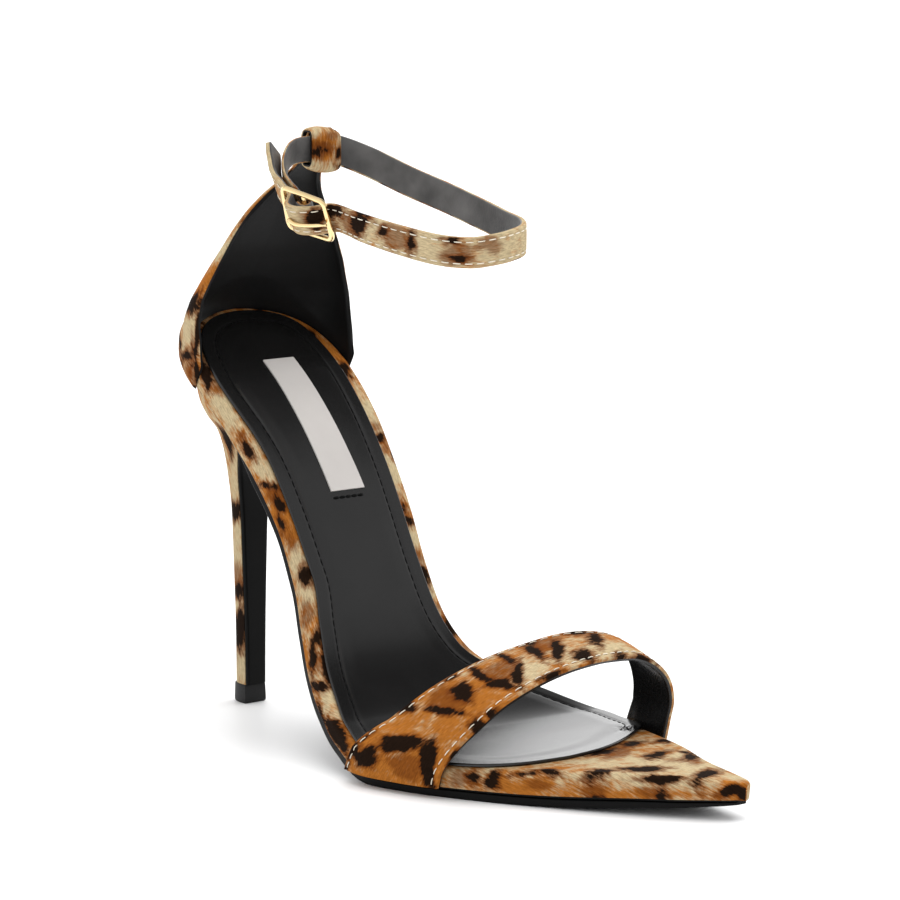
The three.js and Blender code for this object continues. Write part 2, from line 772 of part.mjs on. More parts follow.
// Round wire along a closed or open run of points
function wire(points, radius, closed, steps) {
  const curve = new THREE.CatmullRomCurve3(points.map((p) => new THREE.Vector3(...p)), closed, "centripetal");
  const shape = new THREE.Shape();
  shape.absarc(0, 0, radius, 0, Math.PI * 2);
  const geometry = new THREE.ExtrudeGeometry(shape, { extrudePath: curve, steps, curveSegments: 4 });
  geometry.deleteAttribute("normal");
  geometry.deleteAttribute("uv");
  return outward(mergeVertices(geometry, 1e-3));
}

function makeBuckle() {
  const corners = buckleCorners.slice(1);
  const run = [];
  const round = buckle.cornerRound;
  corners.forEach((corner, i) => {
    const before = corners[(i + 3) % 4];
    const after = corners[(i + 1) % 4];
    const towards = (other) => {
      const length = Math.hypot(...[0, 1, 2].map((k) => other[k] - corner[k]));
      return [0, 1, 2].map((k) => corner[k] + ((other[k] - corner[k]) * round) / length);
    };
    const a = towards(before);
    const b = towards(after);
    run.push(a, [0, 1, 2].map((k) => corner[k] * 0.5 + (a[k] + b[k]) * 0.25), b);
  });
  const frame = toSolid(wire(run, buckle.wire, true, 44));
  const middle = (a, b) => [0, 1, 2].map((k) => (corners[a][k] + corners[b][k]) / 2);
  const centreBar = toSolid(wire([middle(0, 3), middle(1, 2)], buckle.bar, false, 2));
  return fromSolid(frame.add(centreBar).simplify(0.01));
}

function makeProng() {
  return wire(
    [
      [-45.2, -30.9, 142],
      [-42.6, -30.6, 141],
      [-39.4, -29, 140.8],
      [-36.4, -27.6, 141],
      [-33.4, -27.7, 141.2],
    ],
    prong.wire,
    false,
    14,
  );
}

function named(name, geometry, look) {
  const mesh = new THREE.Mesh(geometry, new THREE.MeshStandardMaterial(look));
  mesh.name = name;
  return mesh;
}

const shoe = new THREE.Group();
shoe.name = "ankle_strap_heel";
shoe.add(named("outsole", makeOutsole(), colours.black));
shoe.add(named("board", makeBoard(), colours.leopard));
shoe.add(named("sock_lining", makeSock(), colours.black));
shoe.add(named("sock_label", makeLabel(), colours.label));
shoe.add(named("heel", makeHeel(), colours.leopard));
shoe.add(named("heel_tip", makeHeelTip(), colours.black));
shoe.add(named("counter", makeCounter(), colours.leopard));
shoe.add(named("toe_strap", makeToeStrap(), colours.leopard));
shoe.add(named("ankle_strap", makeAnkleStrap(), colours.leopard));
shoe.add(named("buckle_strap", makeBuckleStrap(), colours.leopard));
shoe.add(named("buckle_frame", makeBuckle(), colours.gold));
shoe.add(named("buckle_prong", makeProng(), colours.gold));

export default shoe;
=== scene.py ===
import math

import bpy
import numpy as np
from mathutils import Matrix


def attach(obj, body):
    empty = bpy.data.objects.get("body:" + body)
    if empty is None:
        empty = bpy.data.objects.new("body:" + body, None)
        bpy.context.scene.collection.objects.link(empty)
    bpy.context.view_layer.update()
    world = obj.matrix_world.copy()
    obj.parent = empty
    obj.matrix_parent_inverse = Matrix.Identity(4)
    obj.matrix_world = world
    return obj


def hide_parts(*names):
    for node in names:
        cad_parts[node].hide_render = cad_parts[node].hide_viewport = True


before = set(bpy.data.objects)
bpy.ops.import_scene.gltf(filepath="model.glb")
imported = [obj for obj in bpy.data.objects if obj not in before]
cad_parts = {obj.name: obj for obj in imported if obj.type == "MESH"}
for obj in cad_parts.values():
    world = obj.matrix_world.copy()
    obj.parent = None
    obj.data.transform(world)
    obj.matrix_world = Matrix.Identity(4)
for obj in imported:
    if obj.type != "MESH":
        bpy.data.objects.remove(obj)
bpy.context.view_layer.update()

# Lengths are in millimetres until a mesh is made. +X to the toe, +Y to the inner side, floor at z = 0.
MILLIMETRE = 0.001
SEED = 7

# View of the photograph
VIEW = {"azimuth": 49.7, "elevation": 8.35, "distance": 1088.6, "focal": 4130.0,
        "target": (-16.25, 0.0, 81.4)}
PICTURE_WIDTH = 900
SENSOR = 36.0

# Sizes of the pieces
SOLE = {"seat_back": -109.5, "toe_tip": 91.0, "seat_round": 21.0, "toe_round": 2.5,
        "start": -114.0, "length": 206.0}
FOOTBED_RISE = 110.0
BALL_HALF = 42.0
SEAT_POWER = 2.2
TOE_START = 60.0
SEAT_CROWD_END = -88
BOARD = {"thickness": 5.6, "top_round": 2.0, "low_round": 0.7}
OUTSOLE = {"thickness": 2.3, "inset": 0.9, "gap": 0.25, "breast": -80.0, "tail": -66.0, "tuck": 3.6,
           "round": 0.5}
SOCK = {"thickness": 0.8, "gap": 0.2, "seat_back": -107.4, "seat_round": 19.0, "tip": 41.4, "tip_round": 1.5,
        "tip_start": 30.0, "round": 0.5}
SOCK_SEAM = {"inset": 4.4, "near_stop": 14.0, "far_start": 24.0, "groove": 0.2, "width": 0.6, "padding": 0.25,
             "crumple": (24.0, 28.5)}
LABEL = {"back": -90.1, "front": -60.0, "middle": -0.3, "back_half": 5.3, "front_half": 5.8,
         "thickness": 0.35, "gap": 0.05}
HEEL_POWER = 2.3
HEEL_BOTTOM = 5.4
TIP = {"width": 7.4, "depth": 7.9, "front": -101.0}
FLAP = {"thickness": 1.0, "gap": 0.2, "bottom": 5.5, "top": 88.0, "inset": 0.1, "bevel": 0.35}
COUNTER = {"wall": 1.6, "wings": -88.5, "medial_forward": 2.2, "straight_top": 150.0, "back_blend": 8.0,
           "tuck": 0.7, "top": 163.0, "bevel": 0.45}
SLEEVE = {"centre": (-70.2, 0.0, 157.6), "length": 9.8, "height": 10.8, "depth": 5.6, "corner": 2.3,
          "slot_height": 8.9, "slot_depth": 3.0, "slot_corner": 0.6, "puff": 0.16}
ANKLE_STRAP = {"width": 8.0, "thickness": 1.6}
BUCKLE_STRAP = {"width": 7.4, "thickness": 1.0, "pitch": 0.25}
TOE_STRAP = {"thickness": 1.8, "gap": 0.3, "bulge": 0.9, "groove": 0.16}
BAND = {"crown": 0.12, "groove": 0.14}
BUCKLE = {"wire": 0.75, "bar": 0.61, "corner": 2.0}
STITCH = {"pitch": 3.1, "length": 2.0, "radius": 0.145, "toe_inset": 2.0, "ankle_inset": 1.2}

# Studio: radiance of the dome, of its low panel and on the near side, and the soft overhead sun
LIGHT = {"dome": 0.72, "band": 2.0, "band_low": 12.0, "band_top": 26.0, "near": 0.35, "flag": 0.92,
         "sun": 2.8, "sun_spread": 64.0, "sun_lean": 20.0}
PANEL = {"towards": (-0.755, 0.64, 0.1), "wide": 62, "narrow": 34}
NEAR = {"towards": (0, -1, 0.2), "wide": 95, "narrow": 30}
FLAG = {"towards": (-0.087, 0.64, 0.764), "wide": 30, "narrow": 12}
FLOOR_HALF = 30.0

# Footbed: shares of the board length, the footbed rise and the half width at the ball
FOOTBED_ROWS = [
    ("along", "rise", "lateral", "medial", "board", "tread"),
    (0.0, 1.03, 0.6, 0.6, 1, 1),
    (0.049, 0.979, 0.57, 0.59, 1, 1),
    (0.097, 0.913, 0.6, 0.585, 1, 1),
    (0.146, 0.843, 0.63, 0.575, 1, 1),
    (0.194, 0.755, 0.61, 0.555, 1, 1),
    (0.238, 0.655, 0.57, 0.52, 1, 1),
    (0.282, 0.535, 0.55, 0.49, 1, 1),
    (0.32, 0.419, 0.58, 0.45, 1, 1),
    (0.359, 0.31, 0.67, 0.43, 1, 1),
    (0.398, 0.223, 0.77, 0.48, 1, 1),
    (0.437, 0.161, 0.85, 0.64, 1, 1),
    (0.485, 0.111, 0.93, 0.83, 1, 1),
    (0.553, 0.0735, 1.0, 0.96, 1, 1),
    (0.61, 0.0725, 0.95, 0.91, 1, 1),
    (0.675, 0.0755, 0.84, 0.81, 1.06, 1),
    (0.796, 0.0885, 0.55, 0.56, 1.25, 0.95),
    (0.917, 0.0975, 0.2, 0.275, 1.18, 0.7),
    (0.981, 0.0915, -0.02, 0.21, 0.94, 0.4),
    (1.0, 0.0865, -0.08, 0.19, 0.8, 0.3),
]

SOCK_ROWS = [
    ("along", "lateral", "medial"),
    (0.02, 0.55, 0.54),
    (0.097, 0.55, 0.46),
    (0.146, 0.58, 0.45),
    (0.238, 0.51, 0.41),
    (0.32, 0.52, 0.36),
    (0.359, 0.61, 0.35),
    (0.398, 0.71, 0.39),
    (0.437, 0.79, 0.56),
    (0.485, 0.89, 0.78),
    (0.553, 0.97, 0.94),
    (0.61, 0.93, 0.89),
    (0.655, 0.85, 0.83),
    (0.681, 0.81, 0.68),
    (0.707, 0.75, 0.48),
    (0.728, 0.66, 0.29),
    (0.743, 0.54, 0.11),
    (0.752, 0.38, -0.07),
    (0.757, 0.26, -0.17),
]

HEEL_ROWS = [
    ("z", "back", "front", "half"),
    (5.4, -108.1, -101.4, 3.3),
    (20, -108.1, -101.4, 3.5),
    (40, -108.4, -101.5, 4.1),
    (55, -108.7, -101.5, 4.7),
    (64, -109.2, -100.7, 6.0),
    (72, -109.8, -97.7, 8.4),
    (78, -110.3, -93.6, 12),
    (83, -110.8, -88.4, 18),
    (88, -111.3, -83.4, 22.4),
    (94, -112, -80.5, 24.6),
    (101, -112.5, -80.5, 25.6),
    (112, -112.7, -80.5, 25.6),
]

# Heights of the heel tip and its shares of the full section
TIP_ROWS = [(0, 0.9), (0.15, 0.95), (0.5, 0.99), (1.0, 1.0), (3.0, 0.985), (4.9, 0.965), (5.2, 0.95),
            (5.3, 0.92)]

# Counter sections; the rows over 158 fold the top over the sleeve
COUNTER_ROWS = [
    ("z", "front", "depth", "lateral", "medial"),
    (80, -90, 21.4, 26.9, 26.2),
    (97, -90, 21.6, 26.9, 26.1),
    (101, -90.6, 21.9, 26.6, 26.1),
    (105, -90.8, 21.9, 26.6, 26),
    (110, -91.2, 19.6, 26.7, 25.7),
    (115, -90.9, 16.4, 26.2, 24.9),
    (120, -89.9, 13.6, 24.6, 23),
    (125, -88.6, 11.4, 22.5, 20.9),
    (130, -87.6, 8.9, 19.9, 18.5),
    (135, -86.6, 7, 17.1, 16.2),
    (140, -85.2, 5.6, 13.8, 13.3),
    (145, -82.6, 4.6, 10, 9.8),
    (150, -78.2, 3.4, 6.4, 6.4),
    (154, -74.8, 3, 4.7, 4.7),
    (158, -72.2, 2.8, 4.4, 4.4),
    (161, -71.0, 2.4, 4.3, 4.3),
    (163, -70.2, 1.6, 4.1, 4.1),
]

TOE_STRAP_ROWS = [
    ("back_x", "back_y", "back_z", "front_x", "front_y", "front_z"),
    (-8.5, -42.6, 3.2, 23.6, -38.4, 2.7),
    (-6.4, -42.4, 6.5, 25.4, -38.4, 7.5),
    (-2.6, -40.2, 11.8, 29, -36.8, 13.3),
    (2.8, -34, 18.8, 33.4, -33, 19.6),
    (7.4, -24.5, 25.8, 36.6, -27, 25.4),
    (10.4, -11.5, 31, 39.2, -17.5, 30.2),
    (13.4, -1, 33.9, 39.6, -8, 32.4),
    (18.2, 8, 36.4, 38.8, 2, 33),
    (22, 16, 36.6, 37, 11, 32.4),
    (23, 23.5, 34.2, 35.2, 20.6, 31.2),
    (22, 29.5, 29, 34.2, 28.2, 28.2),
    (19, 34.5, 22.2, 33.4, 33.6, 23.4),
    (15.2, 38.2, 15.6, 32.4, 36.2, 17.2),
    (11.6, 40, 9.4, 31, 36.2, 11.2),
    (9.6, 40.6, 4.2, 29.8, 35.6, 4.2),
]

ANKLE_STRAP_ROWS = [
    ("x", "y", "z", "lean"),
    (-70.2, -0.8, 157.7, 0),
    (-70.2, 2, 157.5, 0),
    (-69.9, 6.2, 157, 0),
    (-64.8, 12.6, 153.8, -4),
    (-53, 17, 149, -5),
    (-39.9, 19, 145.4, -5),
    (-22.9, 17.8, 141.8, -4),
    (-10.4, 14, 140.2, -3),
    (1.4, 9, 139.4, -2),
    (9, 3, 138.6, 0),
    (12.2, -4, 137.8, 3),
    (12.2, -9.5, 137.1, 5),
    (9.8, -15.3, 136.5, 7),
    (3.4, -20.5, 137.1, 9),
    (-7.2, -24.2, 139, 12),
    (-21.5, -25.4, 141.3, 16),
    (-30, -24.2, 142.5, 20),
    (-35, -23.9, 142.9, 23),
    (-39.4, -26.8, 142, 24),
    (-43.3, -29.2, 142, 24),
    (-46.2, -29, 142.8, 24),
    (-48.7, -26.2, 144.6, 24),
    (-51.8, -24.3, 145.4, 23),
    (-55, -24.2, 147.3, 23),
    (-58.8, -23.8, 150.3, 22),
    (-62, -22.4, 154.6, 22),
    (-64.6, -20.8, 159, 22),
]

BUCKLE_STRAP_ROWS = [
    ("x", "y", "z", "lean"),
    (-70.2, -1.8, 157.8, 0),
    (-70, -6, 157.9, 0),
    (-69, -10.6, 157.4, 2),
    (-66.2, -15, 155.8, 8),
    (-62.4, -18.8, 152.9, 16),
    (-58.2, -21.2, 149.9, 21),
    (-55, -21.9, 148, 23),
    (-51.8, -22.4, 146.5, 23),
    (-48.6, -23.6, 145.3, 23),
    (-45.4, -25, 144.3, 23),
    (-43.4, -24.8, 144, 23),
    (-42.2, -25.2, 143.5, 23),
    (-41.8, -26.1, 143.1, 23),
    (-42.3, -27.1, 142.7, 23),
    (-43.6, -27.5, 142.8, 23),
    (-45.4, -27.2, 143.4, 23),
]

BUCKLE_CORNERS = [(-33.6, -28.4, 147.2), (-36, -23.4, 136.8), (-53.2, -24.2, 139.2), (-50.4, -28.8, 150.2)]
PRONG_POINTS = [(-45.2, -30.9, 142), (-42.6, -30.6, 141), (-39.4, -29, 140.8), (-36.4, -27.6, 141),
                (-33.4, -27.7, 141.2)]

# Print, placed by eye, with painted shade in the thin counter rows at x 193 to 197: kind, pixel of the centre,
# half sizes in pixels, tilt in degrees clockwise
PRINT_ROWS = {
    "toe_strap": [
        ("dark", 401, 743, 18, 8, 0), ("dark", 428, 760, 8, 20, 4), ("heart", 407, 766, 17, 13, 0),
        ("dark", 366, 757, 10, 9, 0), ("dark", 351, 751, 7, 6, 0), ("heart", 445, 700, 18, 12, -20),
        ("dark", 462, 692, 9, 9, 20), ("dark", 445, 711, 14, 4, 8), ("heart", 500, 671, 17, 11, -20),
        ("dark", 480, 675, 11, 4, 32), ("dark", 501, 684, 15, 4, 6), ("dark", 517, 674, 5, 11, 12),
        ("dark", 508, 659, 9, 3, 28), ("heart", 544, 645, 14, 8, -15), ("dark", 534, 651, 10, 4, 28),
        ("dark", 557, 649, 5, 10, 0), ("dark", 530, 643, 6, 2.5, -30), ("dark", 577, 633, 8, 3, 0),
        ("dark", 595, 638, 7, 5, 25), ("dark", 584, 655, 9, 5, 0), ("dark", 621, 656, 5, 4, 0),
        ("dark", 643, 657, 7, 4, 35), ("dark", 552, 674, 9, 4, -22), ("dark", 455, 757, 5, 9, 30),
        ("dark", 476, 726, 6, 7, 30), ("dark", 491, 713, 5, 5, 30), ("warm", 395, 760, 60, 45, 0),
        ("warm", 470, 705, 45, 22, -30), ("warm", 628, 641, 14, 5, 20), ("warm", 590, 664, 22, 4, -8),
        ("cream", 530, 670, 13, 9, -30), ("cream", 568, 655, 12, 9, 0), ("cream", 605, 648, 26, 8, 0),
        ("cream", 650, 665, 20, 12, 50),
    ],
    "board": [
        ("dark", 657, 755, 9, 4, -20), ("dark", 662, 741, 7, 2.5, -5), ("heart", 672, 760, 8, 3, -5),
        ("dark", 690, 757, 7, 4, -25), ("heart", 696, 762, 8, 4, -10), ("dark", 644, 769, 18, 3, -3),
        ("dark", 661, 779, 17, 4.5, -4), ("dark", 706, 774, 13, 3, -12), ("dark", 600, 771, 12, 2, -3),
        ("dark", 524, 774, 10, 2, -2), ("dark", 549, 770, 9, 3, 0), ("heart", 541, 779, 10, 2, 0),
        ("heart", 588, 781, 14, 2.5, 0), ("heart", 618, 754, 17, 5, -18), ("dark", 632, 744, 9, 3, -15),
        ("dark", 604, 752, 12, 3, -16), ("dark", 661, 796, 5, 6, 0), ("heart", 650, 793, 12, 7, 0),
        ("heart", 594, 792, 15, 7, 0), ("dark", 596, 798, 6, 3, 0), ("heart", 538, 785, 12, 6, 0),
        ("dark", 493, 780, 7, 7, 0), ("dark", 474, 778, 5, 6, 0), ("heart", 460, 779, 12, 8, 0),
        ("dark", 735, 790, 17, 5, 0), ("dark", 743, 795, 7, 6, 0), ("heart", 721, 796, 9, 5, 0),
        ("cream", 668, 766, 70, 13, 0), ("cream", 620, 794, 8, 7, 0), ("cream", 692, 796, 14, 6, 0),
        ("cream", 700, 750, 20, 6, 0), ("cream", 580, 775, 35, 5, 0), ("warm", 520, 785, 40, 7, 0),
        ("heart", 199, 342, 4, 9, -8), ("dark", 205, 372, 5, 15, -18), ("heart", 216, 387, 9, 5, 45),
        ("cream", 227, 411, 20, 9, 55), ("heart", 241, 435, 6, 5, 20), ("dark", 247, 449, 4, 10, -28),
        ("cream", 264, 469, 9, 15, -30), ("dark", 268, 486, 9, 3, 12), ("heart", 274, 494, 12, 9, 20),
        ("dark", 279, 504, 5, 8, -15), ("warm", 285, 515, 18, 25, -20), ("dark", 281, 524, 3, 7, -15),
        ("heart", 291, 542, 6, 10, -10), ("cream", 297, 562, 9, 14, -15), ("dark", 305, 575, 6, 10, -20),
        ("cream", 305, 592, 8, 12, -10), ("heart", 306, 614, 7, 14, 0), ("dark", 318, 637, 5, 6, 0),
        ("dark", 312, 657, 3.5, 13, 0), ("dark", 326, 667, 4, 15, -8), ("heart", 318, 663, 5, 11, 0),
        ("dark", 318, 686, 9, 4, -10), ("cream", 328, 702, 10, 14, -20), ("dark", 322, 722, 3, 14, -15),
        ("dark", 337, 735, 6, 16, -25), ("heart", 331, 726, 5, 7, 0), ("warm", 352, 745, 10, 12, 0),
        ("warm", 300, 330, 60, 12, 25), ("dark", 312, 334, 4, 3, 20), ("dark", 344, 371, 8, 5, 50),
        ("cream", 366, 408, 8, 13, -30), ("heart", 376, 427, 7, 5, -25), ("dark", 379, 438, 7, 3.5, -10),
        ("heart", 387, 447, 6, 7, -25), ("cream", 394, 470, 8, 14, -20), ("heart", 393, 492, 4, 7, -20),
        ("dark", 403, 507, 3, 5, -30), ("dark", 409, 521, 6, 3.5, 20), ("cream", 410, 536, 7, 9, -20),
        ("heart", 419, 557, 6, 9, -25), ("dark", 424, 575, 5, 8, -30), ("cream", 432, 590, 5, 7, -30),
        ("heart", 441, 607, 5, 6, -35), ("dark", 452, 627, 4, 9, -38), ("heart", 466, 646, 5, 8, -48),
        ("warm", 640, 795, 80, 6, 0), ("warm", 735, 786, 16, 8, 20),
    ],
    "heel": [
        ("cream", 236, 474, 8, 20, 0), ("dark", 227, 440, 5, 13, -15), ("dark", 235, 511, 6, 9, 0),
        ("cream", 237, 542, 8, 20, 0), ("heart", 237, 574, 6, 11, 0), ("dark", 238, 591, 6, 7, 0),
        ("cream", 238, 605, 8, 6, 0), ("dark", 239, 629, 6, 16, 0), ("cream", 238, 664, 8, 18, 0),
        ("heart", 235, 656, 3, 8, 0),
    ],
    "counter": [
        ("cream", 186, 332, 9, 18, 0), ("dark", 192, 304, 5, 10, 10), ("dark", 187, 355, 6, 5, 0),
        ("heart", 190, 371, 6, 12, -20), ("dark", 203, 398, 6, 13, -30), ("warm", 207, 276, 10, 18, 25),
        # The thin dark streaks and the heart at x 193 to 197 are painted shade along the counter's front edge,
        # darkening the print there
        ("dark", 197, 335, 2.5, 24, 3), ("dark", 197, 372, 2.5, 20, -8), ("heart", 193, 350, 3, 18, 0),
        ("cream", 222, 249, 10, 15, 35), ("heart", 242, 220, 6, 7, 40), ("cream", 268, 180, 10, 14, 35),
    ],
    "sleeve": [
        ("dark", 317, 152, 5, 4.5, 0), ("dark", 326, 150, 4, 2, 0), ("warm", 322, 148, 14, 12, 0),
        ("heart", 321, 149, 13, 10, 0), ("heart", 333, 135, 9, 5, -10),
    ],
    "ankle_strap": [
        ("cream", 272, 158, 14, 22, 0), ("dark", 334, 211, 9, 6, 12), ("dark", 358, 224, 8, 10, 0),
        ("heart", 352, 222, 13, 14, 0), ("dark", 362, 214, 6, 3, 15), ("heart", 335, 227, 8, 6, 0),
        ("cream", 373, 228, 9, 14, 0), ("heart", 392, 229, 13, 7, 12), ("dark", 383, 232, 4, 4, 0),
        ("dark", 411, 243, 4, 9, 4), ("heart", 397, 240, 16, 10, 0), ("cream", 428, 246, 14, 14, 0),
        ("heart", 447, 244, 5, 6, 0), ("dark", 452, 240, 6, 2.5, 0), ("heart", 457, 255, 16, 12, 0),
        ("dark", 460, 259, 7, 4, 0), ("heart", 479, 247, 14, 3, -14), ("heart", 490, 243, 13, 7, 0),
        ("heart", 493, 249, 6, 7, 0), ("cream", 512, 250, 14, 14, 0), ("cream", 300, 222, 14, 16, 0),
        ("dark", 316, 218, 9, 9, 0), ("heart", 314, 219, 12, 11, 0),
    ],
    "buckle_strap": [
        ("dark", 305, 195, 12, 6, 30), ("heart", 295, 175, 4, 12, -20),
    ],
}


def between(low, high, slope_low, slope_high, t):
    """Cubic from one value to the next, for slopes per step of t."""
    value = low * (1 + 2 * t) * (1 - t) ** 2 + high * t * t * (3 - 2 * t)
    return value + slope_low * t * (1 - t) ** 2 + slope_high * t * t * (t - 1)


def smooth_column(rows, name):
    """A named column as a smooth function of the first one that doesn't overshoot."""
    data = np.array(rows[1:], float)
    xs = data[:, 0]
    ys = data[:, rows[0].index(name)]
    secants = np.diff(ys) / np.diff(xs)
    slopes = np.concatenate([secants[:1], np.zeros(len(xs) - 2), secants[-1:]])
    for i in range(1, len(xs) - 1):
        before, after = secants[i - 1], secants[i]
        if before * after > 0:
            slopes[i] = 2 * before * after / (before + after)

    def read(place):
        place = np.clip(np.asarray(place, float), xs[0], xs[-1])
        low = np.clip(np.searchsorted(xs, place, side="left") - 1, 0, len(xs) - 2)
        span = xs[low + 1] - xs[low]
        t = (place - xs[low]) / span
        return between(ys[low], ys[low + 1], slopes[low] * span, slopes[low + 1] * span, t)

    return read


def read_columns(rows):
    return {name: smooth_column(rows, name) for name in rows[0][1:]}


def curve_through(rows):
    """Smooth curve through rows of numbers: a function of places 0 to 1 that gives every column."""
    data = np.array(rows, float)
    steps = np.sqrt(np.linalg.norm(np.diff(data[:, :3], axis=0), axis=1))
    along = np.concatenate([[0], np.cumsum(steps)])
    along = along / along[-1]
    last = len(data) - 1
    slopes = np.array([
        (data[min(last, i + 1)] - data[max(0, i - 1)]) / (along[min(last, i + 1)] - along[max(0, i - 1)])
        for i in range(last + 1)
    ])

    def read(places):
        places = np.clip(np.asarray(places, float), 0, 1)
        low = np.clip(np.searchsorted(along, places, side="left") - 1, 0, last - 1)
        span = (along[low + 1] - along[low])[..., None]
        t = (places - along[low])[..., None] / span
        return between(data[low], data[low + 1], slopes[low] * span, slopes[low + 1] * span, t)

    return read


def round_off(share, power):
    return (1 - (1 - np.clip(share, 0, 1)) ** power) ** (1 / power)


def unit(vectors):
    return vectors / np.maximum(np.linalg.norm(vectors, axis=-1, keepdims=True), 1e-9)


FOOTBED = read_columns(FOOTBED_ROWS)
SOCK_SIDES = read_columns(SOCK_ROWS)
HEEL = read_columns(HEEL_ROWS)
COUNTER_SIDES = read_columns(COUNTER_ROWS)


def board_share(x):
    """Stations as shares of the length of the board."""
    return (x - SOLE["start"]) / SOLE["length"]


def footbed(x):
    """Height of the footbed at stations, and the x and z of the direction square to it."""
    place = board_share(x)
    rise = FOOTBED["rise"]
    step = 0.01
    slope = (rise(place + step) - rise(place - step)) * FOOTBED_RISE / (2 * step * SOLE["length"])
    length = np.hypot(1, slope)
    return rise(place) * FOOTBED_RISE, -slope / length, 1 / length


def on_footbed(x, y, depth):
    """Points at a depth under the footbed, and the directions square to it."""
    z, nx, nz = footbed(x)
    return np.stack([x - nx * depth, y, z - nz * depth], -1), np.stack([nx, np.zeros_like(nx), nz], -1)


def local_depth(x, depth):
    """Depth under the footbed at one station, where the board and the outsole are thicker or thinner."""
    place = board_share(x)
    within = np.minimum(depth, BOARD["thickness"])
    gap = np.minimum(depth - within, OUTSOLE["gap"])
    beyond = depth - within - gap
    stretched = within * FOOTBED["board"](place) + gap + beyond * FOOTBED["tread"](place)
    return np.where(depth <= 0, depth, stretched)


def board_edges(x):
    lateral = FOOTBED["lateral"](board_share(x)) * BALL_HALF
    medial = FOOTBED["medial"](board_share(x)) * BALL_HALF
    ends = round_off((x - SOLE["seat_back"]) / SOLE["seat_round"], SEAT_POWER)
    ends = ends * round_off((SOLE["toe_tip"] - x) / SOLE["toe_round"], 2)
    middle = np.where(x > TOE_START, (medial - lateral) / 2, 0)
    return middle + (-lateral - middle) * ends, middle + (medial - middle) * ends


def outsole_edges(x):
    left, right = board_edges(x)
    tuck = OUTSOLE["tuck"] * np.clip((OUTSOLE["tail"] - x) / (OUTSOLE["tail"] - OUTSOLE["breast"]), 0, 1)
    return left + tuck, right - tuck


def sock_edges(x):
    ends = round_off((x - SOCK["seat_back"]) / SOCK["seat_round"], SEAT_POWER)
    ends = ends * round_off((SOCK["tip"] - x) / SOCK["tip_round"], 2)
    lateral = -SOCK_SIDES["lateral"](board_share(x)) * BALL_HALF
    medial = SOCK_SIDES["medial"](board_share(x)) * BALL_HALF
    middle = np.where(x > SOCK["tip_start"], (lateral + medial) / 2, 0)
    return middle + (lateral - middle) * ends, middle + (medial - middle) * ends


def stations(start, stop, count, crowd):
    """Places from start to stop that crowd towards the one named."""
    t = np.linspace(0, 1, count + 1)
    t = 1 - np.cos(np.pi * t / 2) if crowd == "start" else np.sin(np.pi * t / 2)
    return start + (stop - start) * t


def along_sole(back, count, even, tip):
    """Stations from the back of the seat to the tip, crowded at both ends and even between."""
    return np.concatenate([stations(back, SEAT_CROWD_END, count, "start"), np.arange(*even),
                           stations(*tip, "end")])


# Camera of the photograph
def camera_axes():
    a = math.radians(VIEW["azimuth"])
    e = math.radians(VIEW["elevation"])
    back = np.array([math.sin(a) * math.cos(e), -math.cos(a) * math.cos(e), math.sin(e)])
    right = np.array([math.cos(a), math.sin(a), 0.0])
    return right, np.cross(back, right), back


CAMERA_RIGHT, CAMERA_UP, CAMERA_BACK = camera_axes()
CAMERA_PLACE = np.array(VIEW["target"]) + CAMERA_BACK * VIEW["distance"]


def pixels(points):
    """Where points show in the photograph."""
    v = points - CAMERA_PLACE
    depth = -(v @ CAMERA_BACK)
    across = PICTURE_WIDTH / 2 + VIEW["focal"] * (v @ CAMERA_RIGHT) / depth
    down = PICTURE_WIDTH / 2 - VIEW["focal"] * (v @ CAMERA_UP) / depth
    return np.stack([across, down], -1)


def facing(grid):
    """How much each point of a grid of rings faces the camera, from -1 to 1."""
    down = np.gradient(grid, axis=0)
    over = np.gradient(grid, axis=1)
    normal = unit(np.cross(down, over))
    outward = grid - grid.mean(axis=1, keepdims=True)
    normal = normal * np.where((normal * outward).sum(-1, keepdims=True) < 0, -1.0, 1.0)
    return (normal * unit(CAMERA_PLACE - grid)).sum(-1)


# Leopard print on the flat leather of a piece; lengths in millimetres unless named pixels
PIXELS_PER_MM = 3.75
PRINT_GROWTH = 1.18
FAR_OFF = -4.0
TONES = {"cream": 0.0, "warm": 1.0}
SEEDED = {"spacing": 11.5, "row_step": 0.8, "scatter": 0.22, "smallest": 3.4, "largest": 4.9, "rosettes": 0.62,
          "reach": 6.0, "room": 0.8}
TURNED_TO_CAMERA = 0.06
TURNED_AWAY = 0.02


def oval(offset, wide, high, tilt):
    """Offsets as shares of the half sizes of a tilted oval."""
    turn = math.radians(tilt)
    x = (offset[..., 0] * math.cos(turn) + offset[..., 1] * math.sin(turn)) / wide
    y = (-offset[..., 0] * math.sin(turn) + offset[..., 1] * math.cos(turn)) / high
    return x, y


def ragged(offset, wide, high, tilt, rng):
    """Depth inside a ragged oval in millimetres, for offsets in pixels from its centre."""
    x, y = oval(offset, wide, high, tilt)
    angle = np.arctan2(y, x)
    phases = rng.uniform(0, 2 * math.pi, 3)
    wobble = 0.11 * np.sin(2 * angle + phases[0]) + 0.09 * np.sin(3 * angle + phases[1])
    wobble = wobble + 0.06 * np.sin(5 * angle + phases[2])
    return (1 - np.hypot(x, y) * (1 + wobble)) * math.sqrt(wide * high) / PIXELS_PER_MM


